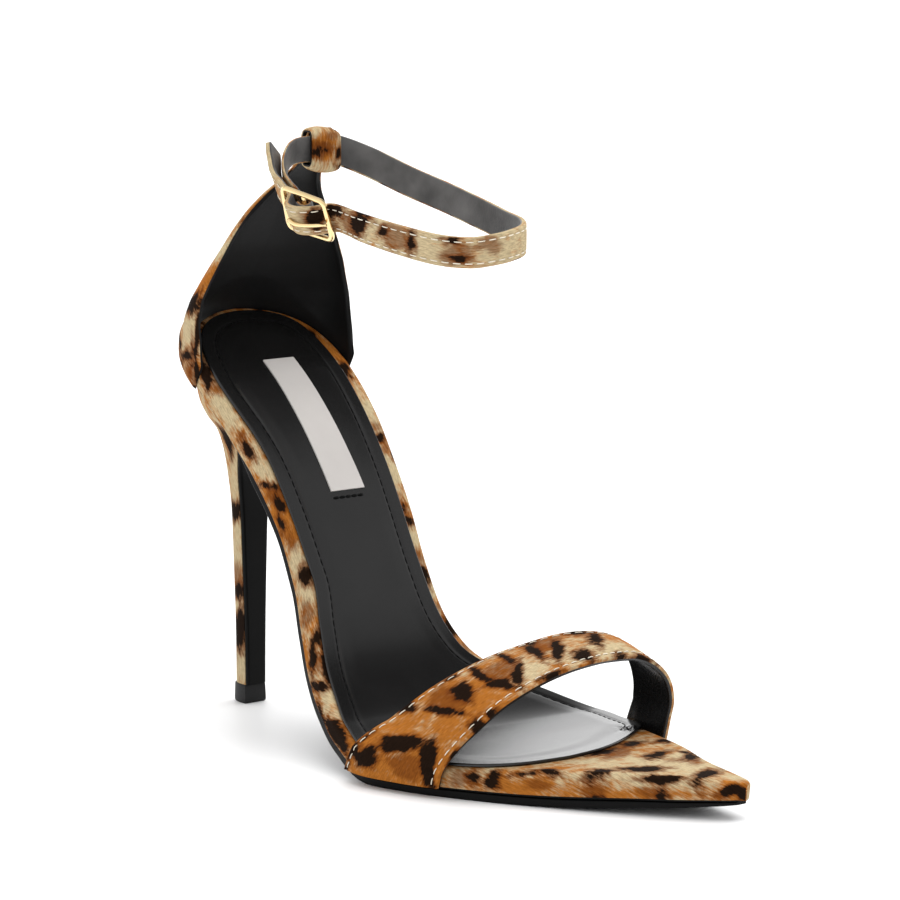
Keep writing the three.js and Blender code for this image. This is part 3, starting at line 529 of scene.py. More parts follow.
def paint(piece, grid, flat, leather, base_tone, seed):
    """Spot, heart and tone of each point: from the table where the photograph sees, seeded elsewhere."""
    rng = np.random.default_rng(seed)
    shape = grid.shape[:2]
    towards = facing(grid)
    values = {"spot": np.full(shape, FAR_OFF), "heart": np.full(shape, FAR_OFF),
              "tone": np.full(shape, float(base_tone))}
    centres = paint_table(values, PRINT_ROWS[piece], grid, flat, leather & (towards > TURNED_TO_CAMERA), rng)
    paint_seeded(values, flat, leather, towards, centres, rng)
    values["tone"] = np.clip(values["tone"] + 0.22 * slow_noise(flat, rng), 0, 1)
    return values


def deepen(values, name, depth):
    values[name] = np.maximum(values[name], depth)


def paint_table(values, rows, grid, flat, usable, rng):
    """Put the rows of a print table on the leather; gives the centres and sizes of its spots."""
    seen = pixels(grid)
    centres = []
    for kind, px, py, wide, high, tilt in rows:
        gap = np.where(usable, np.hypot(seen[..., 0] - px, seen[..., 1] - py), np.inf)
        i, j = np.unravel_index(np.argmin(gap), gap.shape)
        offset = (flat - flat[i, j]) @ pixel_slopes(grid, flat, i, j).T
        offset = offset + seen[i, j] - np.array([px, py])
        if kind in TONES:
            x, y = oval(offset, wide, high, tilt)
            pull = np.exp(-(x * x + y * y) * 0.8)
            values["tone"] = values["tone"] + (TONES[kind] - values["tone"]) * pull
            continue
        depth = ragged(offset, wide * PRINT_GROWTH, high * PRINT_GROWTH, tilt, rng)
        centres.append((flat[i, j], max(wide, high) / PIXELS_PER_MM))
        deepen(values, "spot" if kind == "dark" else "heart", depth)
    return centres


def paint_seeded(values, flat, leather, towards, centres, rng):
    """Seeded spots and rosettes in loose rows where the photograph doesn't see."""
    spacing = SEEDED["spacing"]
    scatter = SEEDED["scatter"]
    points = flat[leather]
    point_facing = towards[leather]
    low = points.min(axis=0)
    top = points.max(axis=0) + spacing
    for u in np.arange(low[0], top[0], spacing):
        for k, v in enumerate(np.arange(low[1], top[1], spacing * SEEDED["row_step"])):
            place = np.array([u + (k % 2) * spacing / 2, v]) + rng.uniform(-scatter, scatter, 2) * spacing
            size = rng.uniform(SEEDED["smallest"], SEEDED["largest"])
            rosette = rng.random() < SEEDED["rosettes"]
            angles = rng.uniform(0, 360, 6)
            nearest = np.hypot(*(points - place).T)
            at = int(np.argmin(nearest))
            if nearest[at] > SEEDED["reach"] or point_facing[at] > TURNED_AWAY:
                continue
            if any(np.hypot(*(place - c)) < r + size * SEEDED["room"] for c, r in centres):
                continue
            offset = (flat - place) * PIXELS_PER_MM
            wide = size * PIXELS_PER_MM
            if not rosette:
                deepen(values, "spot", ragged(offset, wide * 0.55, wide * 0.4, angles[0], rng))
                continue
            deepen(values, "heart", ragged(offset, wide * 0.85, wide * 0.72, angles[0], rng))
            for turn in (0, 95, 175, 265)[: 3 + int(angles[1] > 120)]:
                around = math.radians(angles[2] + turn)
                middle = np.array([math.cos(around), math.sin(around)]) * wide * 0.78
                blob = ragged(offset - middle, wide * 0.2, wide * 0.5, math.degrees(around), rng)
                deepen(values, "spot", blob)


def pixel_slopes(grid, flat, i, j):
    """Pixels of the photograph per millimetre of flat leather at one point, held off edge-on views."""
    rows, columns = grid.shape[:2]
    a, b = max(i - 1, 0), min(i + 1, rows - 1)
    c, d = max(j - 1, 0), min(j + 1, columns - 1)
    seen = pixels(np.array([grid[a, j], grid[b, j], grid[i, c], grid[i, d]]))
    moved = np.array([seen[1] - seen[0], seen[3] - seen[2]]).T
    flats = np.array([flat[b, j] - flat[a, j], flat[i, d] - flat[i, c]]).T
    left, strength, right = np.linalg.svd(moved @ np.linalg.pinv(flats))
    return left @ np.diag(np.maximum(strength, 0.9)) @ right


def slow_noise(flat, rng):
    """Smooth uneven values of about -1 to 1 over the flat leather."""
    value = np.zeros(flat.shape[:2])
    for length in (31.0, 17.0, 9.0):
        angle = rng.uniform(0, math.pi)
        phase = rng.uniform(0, 2 * math.pi, 2)
        across = flat @ np.array([math.cos(angle), math.sin(angle)])
        other = flat @ np.array([-math.sin(angle), math.cos(angle)])
        wave = np.sin(across * 2 * math.pi / length + phase[0])
        value = value + wave * np.cos(other * 4 / length + phase[1])
    return value / 2


def put(name, data):
    """New object in the scene."""
    made = bpy.data.objects.new(name, data)
    bpy.context.collection.objects.link(made)
    return made


def finish_mesh(name, verts, faces, materials, face_materials=None, values=None, uv=None,
                sharp=50):
    """Mesh on a new piece that rides on the root, with its print values and flat coordinates."""
    mesh = bpy.data.meshes.new(name)
    mesh.from_pydata((verts * MILLIMETRE).tolist(), [], faces)
    for material in materials:
        mesh.materials.append(material)
    if face_materials is not None:
        mesh.polygons.foreach_set("material_index", face_materials)
    if uv is not None:
        layer = mesh.uv_layers.new(name="flat")
        corners = np.empty(len(mesh.loops), np.int32)
        mesh.loops.foreach_get("vertex_index", corners)
        layer.data.foreach_set("uv", (uv[corners] * 0.01).ravel())
    for key, value in (values or {}).items():
        mesh.attributes.new(key, "FLOAT", "POINT").data.foreach_set("value", value.ravel().astype(np.float32))
    mesh.shade_smooth()
    if sharp:
        mesh.set_sharp_from_angle(angle=math.radians(sharp))
    mesh.validate()
    piece = put(name, mesh)
    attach(piece, "root")
    return piece


def ring_piece(name, rings, materials, tags=None, flat=None, values=None, closed=False, slot=None,
               sharp=50, end=0):
    """Closed piece from rings of points; tags give the materials of the columns, end that of the two ends."""
    rows, columns = rings.shape[:2]
    index = np.arange(rows * columns).reshape(rows, columns)
    if closed:
        index = np.vstack([index, index[:1]])
    a, b = index[:-1], index[1:]
    quads = np.stack([a, np.roll(a, -1, 1), np.roll(b, -1, 1), b], -1)
    volume = signed_volume(rings.reshape(-1, 3), quads.reshape(-1, 4))
    if volume < 0:
        quads = quads[..., ::-1]
    faces = quads.reshape(-1, 4).tolist()
    tag = np.zeros(columns, int) if tags is None else np.asarray(tags)
    face_tags = np.tile(tag, len(index) - 1).tolist()
    if not closed:
        first, last = index[0].tolist(), index[-1].tolist()
        faces += [first[::-1], last] if volume >= 0 else [first, last[::-1]]
        face_tags += [end, end]
    uv = None if flat is None else flat.reshape(-1, 2)
    return finish_mesh(name, rings.reshape(-1, 3), faces, materials, face_tags, values, uv, sharp)


def leopard_piece(node, name, rings, flat, tags, lining, tone, seed, slot="leopard_hair", **more):
    """Piece of printed hide where its tags are 0, and of its lining where they are 1."""
    leather = np.tile(np.asarray(tags) == 0, (len(rings), 1))
    values = paint(node, rings, flat, leather, tone, SEED + seed)
    materials = [LEOPARD, lining] if lining else [LEOPARD]
    return ring_piece(name, rings, materials, tags, flat, values, slot=slot, **more)


def signed_volume(verts, quads):
    a, b, c, d = (verts[quads[:, k]] for k in range(4))
    return float((a * np.cross(b, c)).sum() + (a * np.cross(c, d)).sum())


def lengths_along(points):
    steps = np.linalg.norm(np.diff(points, axis=0), axis=-1)
    return np.concatenate([[0], np.cumsum(steps)])


def stitches(name, rows, material, pitch=STITCH["pitch"], length=STITCH["length"], radius=STITCH["radius"]):
    """Threads lying along rows of points with normals, each dipping in at its two ends."""
    verts, faces = [], []
    sides = 6
    profile = [(0.0, -0.9, 0.55), (0.12, 0.1, 0.9), (0.5, 0.55, 1.0), (0.88, 0.1, 0.9), (1.0, -0.9, 0.55)]
    step = 0.2

    def read(at, values):
        return np.array([np.interp(at, along, values[:, k]) for k in range(3)])

    for points, normals in rows:
        along = lengths_along(points)
        for start in np.arange(pitch * 0.3, along[-1] - length, pitch):
            base = len(verts)
            for share, lift, thick in profile:
                at = start + share * length
                n = unit(read(at, normals))
                side = unit(np.cross(unit(read(at + step, points) - read(at - step, points)), n))
                for k in range(sides):
                    angle = 2 * math.pi * k / sides
                    spread = side * math.cos(angle) * 1.15 + n * (math.sin(angle) * 0.9 + lift)
                    verts.append(read(at, points) + spread * radius * thick)
            for ring in range(len(profile) - 1):
                for k in range(sides):
                    a = base + ring * sides + k
                    b = base + ring * sides + (k + 1) % sides
                    faces.append((a, a + sides, b + sides, b))
            faces.append(tuple(base + k for k in range(sides)))
            faces.append(tuple(base + (len(profile) - 1) * sides + k for k in reversed(range(sides))))
    return finish_mesh(name, np.array(verts), faces, [material], sharp=0)


def wire(name, path, radii, material, sides, closed=False, slot=None):
    """Round wire along points."""
    ahead = np.roll(path, -1, 0) if closed else np.vstack([path[1:], 2 * path[-1] - path[-2]])
    behind = np.roll(path, 1, 0) if closed else np.vstack([2 * path[0] - path[1], path[:-1]])
    along = unit(ahead - behind)
    centre = path.mean(axis=0)
    plane = unit(np.cross(path[0] - centre, path[len(path) // 3] - centre))
    side = unit(np.cross(along, plane))
    over = unit(np.cross(side, along))
    angle = np.linspace(0, 2 * math.pi, sides, endpoint=False)
    radii = np.broadcast_to(radii, len(path))[:, None, None]
    circle = side[:, None] * np.cos(angle)[:, None] + over[:, None] * np.sin(angle)[:, None]
    rings = path[:, None] + radii * circle
    return ring_piece(name, rings, [material], closed=closed, slot=slot, sharp=0)


def new_material(name):
    material = bpy.data.materials.new(name)
    material.use_nodes = True
    tree = material.node_tree
    tree.nodes.clear()
    output = tree.nodes.new("ShaderNodeOutputMaterial")
    shader = tree.nodes.new("ShaderNodeBsdfPrincipled")
    tree.links.new(shader.outputs[0], output.inputs[0])
    return material, tree, shader


def feed(tree, node, inputs):
    """Link or set the inputs of a node, by name or number."""
    for key, value in inputs.items():
        if isinstance(value, bpy.types.NodeSocket):
            tree.links.new(value, node.inputs[key])
        else:
            node.inputs[key].default_value = value


def add(tree, kind, inputs=None, **settings):
    made = tree.nodes.new("ShaderNode" + kind)
    for key, value in settings.items():
        setattr(made, key, value)
    feed(tree, made, inputs or {})
    return made


def maths(tree, operation, *values):
    return add(tree, "Math", dict(enumerate(values)), operation=operation).outputs[0]


def plus(tree, first, second):
    return maths(tree, "ADD", first, second)


def times(tree, first, second):
    return maths(tree, "MULTIPLY", first, second)


def around_zero(tree, value, size):
    """A noise of 0 to 1 moved to the middle and scaled."""
    return times(tree, maths(tree, "SUBTRACT", value, 0.5), size)


def blend_colour(tree, share, first, second):
    return add(tree, "Mix", {0: share, 6: first, 7: second}, data_type="RGBA").outputs[2]


def noise(tree, scale, detail=2.0, stretch=(1, 1, 1), rough=0.5, source="flat"):
    """Noise with a scale in features per millimetre, on the flat leather or in space."""
    if source == "flat":
        coordinate = add(tree, "UVMap", uv_map="flat").outputs[0]
        factor = 100.0
    else:
        coordinate = add(tree, "TexCoord").outputs["Object"]
        factor = 1000.0
    mapping = add(tree, "Mapping", {"Vector": coordinate, "Scale": stretch})
    inputs = {"Vector": mapping.outputs[0], "Scale": scale * factor, "Detail": detail, "Roughness": rough}
    return add(tree, "TexNoise", inputs).outputs[0]


def step_up(tree, value, low, high):
    inputs = {"Value": value, "From Min": low, "From Max": high}
    return add(tree, "MapRange", inputs, interpolation_type="SMOOTHSTEP").outputs[0]


def even_range(tree, value, low, high):
    """A noise's usual values of 0.3 to 0.7 spread over low to high."""
    inputs = {"Value": value, "From Min": 0.3, "From Max": 0.7, "To Min": low, "To Max": high}
    return add(tree, "MapRange", inputs).outputs[0]


def scaled_colour(tree, colour, size):
    return add(tree, "VectorMath", {0: colour, "Scale": size}, operation="SCALE").outputs[0]


def attribute(tree, name):
    return add(tree, "Attribute", attribute_name=name).outputs["Fac"]


def bump(tree, shader, height, distance, strength):
    made = add(tree, "Bump", {"Height": height, "Distance": distance * MILLIMETRE, "Strength": strength})
    feed(tree, shader, {"Normal": made.outputs[0]})


def leopard_material(name):
    """Short-haired print: cream to orange ground, brown hearts and near-black spots with furry edges."""
    material, tree, shader = new_material(name)
    fur = noise(tree, 1.0, 4.0, (0.4, 1.8, 1), 0.65)
    fine = noise(tree, 1.6, 3.0, (0.35, 1.9, 1), 0.65)
    patch = noise(tree, 0.3, 3.0, (1, 1, 1), 0.5)
    outline = noise(tree, 0.42, 3.0, (0.8, 1.1, 1), 0.6)
    hairs = around_zero(tree, fur, 2.6)
    spot = plus(tree, attribute(tree, "spot"), plus(tree, hairs, around_zero(tree, outline, 3.6)))
    heart = plus(tree, attribute(tree, "heart"), hairs)
    heart = maths(tree, "SUBTRACT", heart, times(tree, patch, 0.4))
    tone = plus(tree, attribute(tree, "tone"), around_zero(tree, patch, 1.5))
    tone = plus(tree, tone, around_zero(tree, fur, 1.5))
    cream = (0.47, 0.375, 0.225, 1)
    tan = (0.34, 0.118, 0.019, 1)
    brown = (0.135, 0.035, 0.0055, 1)
    dark = (0.012, 0.006, 0.0034, 1)
    colour = blend_colour(tree, step_up(tree, tone, 0.1, 0.9), cream, tan)
    colour = blend_colour(tree, times(tree, step_up(tree, heart, -0.8, 1.4), 0.7), colour, brown)
    halo = times(tree, step_up(tree, spot, -1.5, 0.1), 0.8)
    colour = blend_colour(tree, halo, colour, brown)
    colour = blend_colour(tree, step_up(tree, spot, -0.2, 0.7), colour, dark)
    streaked = scaled_colour(tree, colour, even_range(tree, fine, 0.66, 1.32))
    feed(tree, shader, {"Base Color": streaked, "Roughness": 0.7, "Specular IOR Level": 0.02})
    bump(tree, shader, plus(tree, times(tree, fine, 0.6), fur), 0.12, 0.5)
    return material


def plain_material(name, colour, roughness, specular, grain, depth, uneven=0.15, metallic=0.0):
    """Smooth material with fine grain and slow variation of colour and gloss."""
    material, tree, shader = new_material(name)
    slow = noise(tree, 0.09, 3.0, source="space")
    fine = noise(tree, grain, 3.0, source="space")
    tinted = scaled_colour(tree, colour, even_range(tree, slow, 1 - uneven, 1 + uneven))
    gloss = even_range(tree, fine, roughness * 0.9, roughness * 1.1)
    feed(tree, shader, {"Base Color": tinted, "Roughness": gloss, "Specular IOR Level": specular,
                        "Metallic": metallic})
    bump(tree, shader, fine, depth, 0.6)
    return material


LEOPARD = leopard_material("leopard_short_hair")
SOCK_BLACK = plain_material("sock_black_satin", (0.006, 0.0058, 0.0058), 0.24, 0.5, 4.0, 0.008)
LINING_BLACK = plain_material("lining_black", (0.006, 0.006, 0.0062), 0.5, 0.15, 2.5, 0.03)
GLOSS_BLACK = plain_material("strap_lining_black", (0.005, 0.005, 0.0052), 0.28, 0.3, 2.5, 0.015)
GREY_LINING = plain_material("strap_lining_grey", (0.085, 0.082, 0.08), 0.42, 0.3, 1.2, 0.12, 0.45)
SOLE_BLACK = plain_material("outsole_black", (0.0035, 0.0035, 0.0035), 0.42, 0.08, 1.5, 0.02)
TIP_RUBBER = plain_material("tip_rubber", (0.014, 0.014, 0.0145), 0.5, 0.15, 2.0, 0.03)
LABEL_CLOTH = plain_material("label_blank", (0.5, 0.475, 0.455), 0.55, 0.3, 5.0, 0.02, 0.03)
GOLD = plain_material("buckle_gold", (0.9, 0.68, 0.36), 0.17, 0.5, 2.0, 0.004, 0.05, metallic=1.0)
THREAD_CREAM = plain_material("thread_cream", (0.74, 0.68, 0.56), 0.6, 0.3, 6.0, 0.04)
THREAD_BLACK = plain_material("thread_black", (0.003, 0.003, 0.003), 0.6, 0.1, 6.0, 0.04)


def section(half, upper, lower, top_round, low_round, top_columns, side_columns, low_columns):
    """Section of a sheet with round corners: y from the middle, depth and a tag, 1 for its underside."""
    top_round = min(top_round, half * 0.7, (lower - upper) * 0.6)
    low_round = min(low_round, half * 0.3, (lower - upper) * 0.35)
    angle = np.linspace(0, math.pi / 2, 6)[1:]
    c, s = 1 - np.cos(angle), 1 - np.sin(angle)
    side = np.linspace(lower - low_round, upper + top_round, side_columns)
    top = np.linspace(half - top_round, 0, top_columns + 1)[1:]
    y = np.concatenate([np.full(side_columns, half), half - top_round * c, top])
    depth = np.concatenate([side, upper + top_round * s, np.full(top_columns, upper)])
    low = np.linspace(-half + low_round, half - low_round, low_columns + 1)[1:]
    y_low = [-half + low_round * c, low, (half - low_round * c)[:-1][::-1]]
    depth_low = [lower - low_round * s, np.full(low_columns, lower), (lower - low_round * s)[:-1][::-1]]
    tags = [0] * (2 * len(y) - 1) + [1] * sum(len(part) for part in y_low)
    return (np.concatenate([y, -y[:-1][::-1], *y_low]),
            np.concatenate([depth, depth[:-1][::-1], *depth_low]), np.array(tags))


def sheet(places, edges, upper, lower, top_round, low_round, columns, grow=0.0, floor=False, shape=None):
    """Rings of a sheet that follows the footbed, with flat coordinates and a tag for each column."""
    z, nx, nz = footbed(places)
    left, right = edges(places)
    run = lengths_along(np.stack([places, np.zeros_like(places), z], -1))
    rings, flats = [], []
    for k, x in enumerate(places):
        half = max(0.25, (right[k] - left[k]) / 2 + grow)
        y, depth, tags = section(half, upper, lower, top_round, low_round, *columns)
        y = y + (left[k] + right[k]) / 2
        if shape is not None:
            depth = depth - shape(x, y, depth)
        depth = local_depth(x, depth)
        height = z[k] - nz[k] * depth
        if floor:
            height = np.maximum(0, height)
        ring = np.stack([x - nx[k] * depth, y, height], -1)
        girth = lengths_along(np.stack([y, depth], -1))
        middle = girth[(len(y) - (tags == 1).sum()) // 2]
        rings.append(ring)
        flats.append(np.stack([np.full(len(y), run[k]), girth - middle], -1))
    return np.array(rings), np.array(flats), tags


def make_board():
    places = along_sole(SOLE["seat_back"], 64, (-87.3, 86, 0.75), (86.3, SOLE["toe_tip"], 26))
    rings, flat, tags = sheet(places, board_edges, 0, BOARD["thickness"], BOARD["top_round"],
                              BOARD["low_round"], (46, 12, 8))
    piece = leopard_piece("board", "board_leopard", rings, flat, tags, SOLE_BLACK, 0.6, 0)
    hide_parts("board")


def make_outsole():
    upper = BOARD["thickness"] + OUTSOLE["gap"]
    places = np.concatenate([
        np.arange(OUTSOLE["breast"] - 2.4, 86, 1.0),
        stations(86.3, SOLE["toe_tip"] - 1, 20, "end"),
    ])
    rings, _, _ = sheet(places, outsole_edges, upper, upper + OUTSOLE["thickness"], OUTSOLE["round"],
                        OUTSOLE["round"], (12, 5, 16), grow=-OUTSOLE["inset"], floor=True)
    tread = ring_piece("outsole_black", rings, [SOLE_BLACK], slot="outsole_black")
    rings = []
    for z in np.linspace(FLAP["bottom"], FLAP["top"], 90):
        front = float(HEEL["front"](z)) + FLAP["gap"]
        half = float(HEEL["half"](z)) - FLAP["inset"]
        face = front + FLAP["thickness"]
        bevel = FLAP["bevel"]
        ring = [(front, -half, z), (face - bevel, -half, z)]
        ring += [(face, y, z) for y in np.linspace(-half + bevel, half - bevel, 14)]
        ring += [(face - bevel, half, z), (front, half, z)]
        rings.append(ring)
    flap = ring_piece("breast_black", np.array(rings), [SOLE_BLACK], slot="outsole_black")
    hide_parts("outsole")
    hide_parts("outsole")


SOCK_TOP = -SOCK["thickness"] - SOCK["gap"]


def sock_outline():
    """Edge of the sock in the flat: length along the footbed and y, once round."""
    places = along_sole(SOCK["seat_back"], 60, (-87, 37, 1.0), (37.2, SOCK["tip"], 16))
    left, right = sock_edges(places)
    run = sock_run(places)
    return np.concatenate([np.stack([run, left], -1), np.stack([run, right], -1)[::-1]])


def sock_run(x):
    """Length along the footbed up to stations."""
    grid = np.arange(-112, 60, 0.5)
    z, _, _ = footbed(grid)
    return np.interp(x, grid, lengths_along(np.stack([grid, z], -1)))


def distance_to(points, outline):
    return np.sqrt(((points[:, None] - outline[None]) ** 2).sum(-1)).min(axis=1)


SOCK_OUTLINE = sock_outline()


def sock_relief(run, y):
    """Height of the padding over the sock's plain top, with the groove of its seam."""
    gap = distance_to(np.stack([run, y], -1), SOCK_OUTLINE)
    inside = np.clip((gap - SOCK_SEAM["inset"]) / 5.0, 0, 1)
    padding = SOCK_SEAM["padding"] * (3 * inside ** 2 - 2 * inside ** 3)
    fade = np.clip((run - sock_run(8.0)) / 14, 0, 1) * np.clip((SOCK_SEAM["far_start"] + 4 - y) / 8, 0, 1)
    line = np.exp(-((gap - SOCK_SEAM["inset"]) / SOCK_SEAM["width"]) ** 2)
    groove = SOCK_SEAM["groove"] * line * (1 - fade)
    crumple_x, crumple_y = SOCK_SEAM["crumple"]
    near_tip = np.exp(-(((run - float(sock_run(crumple_x))) / 2.4) ** 2 + ((y - crumple_y) / 3.0) ** 2))
    crumple = near_tip * (0.5 * np.sin(y * 2.1 + run * 1.3) + 0.35 * np.sin(y * 1.1 - run * 2.4))
    return padding - groove + crumple * np.clip(gap / 1.5, 0, 1)


def make_sock():
    places = along_sole(SOCK["seat_back"], 60, (-87.3, 36, 0.7), (36.2, SOCK["tip"], 26))

    def shape(x, y, depth):
        relief = sock_relief(np.full(len(y), float(sock_run(x))), y)
        return np.where(depth <= SOCK_TOP + 0.02, relief, 0)

    rings, flat, _ = sheet(places, sock_edges, SOCK_TOP, -SOCK["gap"], SOCK["round"], 0.3, (50, 3, 6),
                           shape=shape)
    piece = ring_piece("sock_satin", rings, [SOCK_BLACK], None, flat, slot="sock_satin", sharp=0)
    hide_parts("sock_lining")
    make_sock_seam()


def make_sock_seam():
    """Stitches a fixed distance inside the edge of the sock."""
    tangent = unit(np.roll(SOCK_OUTLINE, -1, 0) - np.roll(SOCK_OUTLINE, 1, 0))
    inward = np.stack([-tangent[:, 1], tangent[:, 0]], -1)
    centre = np.array([SOCK_OUTLINE[:, 0].mean(), 0])
    if (inward * (centre - SOCK_OUTLINE)).sum() < 0:
        inward = -inward
    seam = SOCK_OUTLINE + inward * SOCK_SEAM["inset"]
    seam = seam[distance_to(seam, SOCK_OUTLINE) > SOCK_SEAM["inset"] - 0.12]
    grid = np.arange(-112, 60, 0.25)
    x = np.interp(seam[:, 0], sock_run(grid), grid)
    points, normals = on_footbed(x, seam[:, 1], SOCK_TOP - sock_relief(seam[:, 0], seam[:, 1]))
    keep = np.concatenate([[True], np.linalg.norm(np.diff(points, axis=0), axis=1) > 1e-3])
    keep = keep & ((x < SOCK_SEAM["near_stop"]) | (seam[:, 1] > SOCK_SEAM["far_start"]))
    stitches("sock_stitches", [(points[keep], normals[keep])], THREAD_BLACK, 2.6, 2.4, 0.14)


def label_edges(x):
    half = np.interp(x, [LABEL["back"], LABEL["front"]], [LABEL["back_half"], LABEL["front_half"]])
    return LABEL["middle"] - half, LABEL["middle"] + half


def make_label():
    places = np.linspace(LABEL["back"], LABEL["front"], 50)
    lower = SOCK_TOP - SOCK_SEAM["padding"] - LABEL["gap"]
    rings, flat, _ = sheet(places, label_edges, lower - LABEL["thickness"], lower + 0.3, 0.15, 0.05, (12, 3, 4))
    piece = ring_piece("label_blank", rings, [LABEL_CLOTH], None, flat, slot="label_blank")
    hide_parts("sock_label")
    y = LABEL["middle"] + np.linspace(-LABEL["front_half"] - 0.6, LABEL["front_half"] + 0.6, 30)
    row = on_footbed(np.full_like(y, LABEL["front"] + 1.1), y, lower - 0.05)
    stitches("label_stitches", [row], THREAD_BLACK, 2.1, 1.9, 0.3)


def superellipse(angle, power):
    """Shares of the two half sizes round an ellipse that gets squarer as its power grows."""
    return (np.abs(np.cos(angle)) ** (2 / power),
            np.sign(np.sin(angle)) * np.abs(np.sin(angle)) ** (2 / power))


def heel_section(back, front, half, count):
    """Section from one front corner round the back to the other."""
    c, s = superellipse(np.pi * (0.5 + np.linspace(0, 1, count)), HEEL_POWER)
    return front - (front - back) * c, half * s


def make_heel():
    count = 72

    def around(heights):
        return heel_section(*(HEEL[name](heights) for name in ("back", "front", "half")), count)

    # Each line up the heel ends just under the board
    grid = np.arange(-118, -60, 0.5)
    under, _ = on_footbed(grid, np.zeros_like(grid), BOARD["thickness"] + 0.2)
    under = under[np.argsort(under[:, 0])]
    tops = np.full(count, 95.0)
    for _ in range(12):
        tops = 0.5 * tops + 0.5 * np.interp(around(tops)[0], under[:, 0], under[:, 2])
    heights = HEEL_BOTTOM + (tops - HEEL_BOTTOM) * np.linspace(0, 1, 230)[:, None]
    rings = np.array([np.stack([*around(row), row], -1) for row in heights])
    girth = np.array([lengths_along(r) for r in rings])
    flat = np.stack([rings[..., 2], girth - girth[:, count // 2:count // 2 + 1]], -1)
    piece = leopard_piece("heel", "heel_leopard", rings, flat, np.zeros(count, int), None, 0.4, 1,
                          slot="leopard_heel", sharp=55)
    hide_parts("heel")


def make_heel_tip():
    middle = TIP["front"] - TIP["depth"] / 2
    x, y = heel_section(TIP["front"] - TIP["depth"], TIP["front"], TIP["width"] / 2, 40)
    rings = [np.stack([middle + (x - middle) * share, y * share, np.full_like(x, z)], -1)
             for z, share in TIP_ROWS]
    piece = ring_piece("heel_tip_rubber", np.array(rings), [TIP_RUBBER], slot="tip_rubber", sharp=40)
    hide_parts("heel_tip")


def counter_point(angle, z, inward):
    """Points of the counter's outer face, moved inward, at an angle round the back and at heights."""
    front, depth, lateral, medial = (read(z) for read in COUNTER_SIDES.values())
    c, s = superellipse(angle, SEAT_POWER)
    low = np.clip((COUNTER["straight_top"] - z) / 20, 0, 1)
    forward = COUNTER["medial_forward"] * low * np.maximum(0, s)
    half = np.where(s > 0, medial, lateral)
    return np.stack([front + forward - (depth - inward) * c, (half - inward) * s, z], -1)


def make_counter():
    levels = 110
    reach = BOARD["thickness"] - 0.2
    wall = COUNTER["wall"]
    bevel = COUNTER["bevel"]
    rings = []
    for side in np.linspace(-1, 1, 141):
        angle = side * math.pi / 2
        c, _ = superellipse(angle, SEAT_POWER)
        station = COUNTER["wings"] + (SOLE["seat_back"] - COUNTER["wings"]) * c
        z0, nx, nz = (v[0] for v in footbed(np.array([station])))
        bottom = z0 - nz * reach
        z = bottom + (COUNTER["top"] - bottom) * np.linspace(0, 1, levels) ** 0.92
        low = np.clip(1 - (z - bottom) / (z0 + 2 + COUNTER["back_blend"] * c ** 4 - bottom), 0, None)
        tuck = COUNTER["tuck"] * np.clip(1 - (z - bottom) / 5, 0, None) ** 2
        edge = max(0.0, (abs(side) - 0.985) / 0.015) ** 2
        outer = counter_point(angle, z, tuck + bevel * edge)
        inner = counter_point(angle, z, np.full(levels, wall - bevel * edge))
        back = np.stack([nx * reach * low, np.zeros(levels), np.zeros(levels)], -1)
        outer = outer - back
        inner = inner - back
        top = (outer[-1] + inner[-1]) / 2 + np.array([0, 0, 0.5])
        foot = (outer[0] + inner[0]) / 2
        rings.append(np.vstack([outer, top[None], inner[::-1], foot[None]]))
    rings = np.array(rings)
    tags = [0] * (levels + 1) + [1] * (levels + 1)
    girth = lengths_along(rings[:, levels // 4])
    rise = np.linspace(0, 1, levels) * 68
    height = np.concatenate([rise, [70], 72 + rise, [142]])
    flat = np.stack(np.broadcast_arrays(girth[:, None] - girth.mean(), height[None]), -1)
    piece = leopard_piece("counter", "counter_leopard", rings, flat, tags, LINING_BLACK, 0.6, 2, end=1)
    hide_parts("counter")


def rounded_box(depth, height, corner, count):
    """Evenly spaced points round a box with round corners from its underside, and the length up to each."""
    angle = (np.arange(720) + 0.5 - 180) * math.pi / 360
    x = np.sign(np.cos(angle)) * (depth / 2 - corner) + corner * np.cos(angle)
    z = np.sign(np.sin(angle)) * (height / 2 - corner) + corner * np.sin(angle)
    loop = np.stack([np.append(x, x[0]), np.append(z, z[0])], -1)
    along = lengths_along(loop)
    places = np.linspace(0, along[-1], count, endpoint=False)
    return np.stack([np.interp(places, along, loop[:, 0]), np.interp(places, along, loop[:, 1])], -1), places


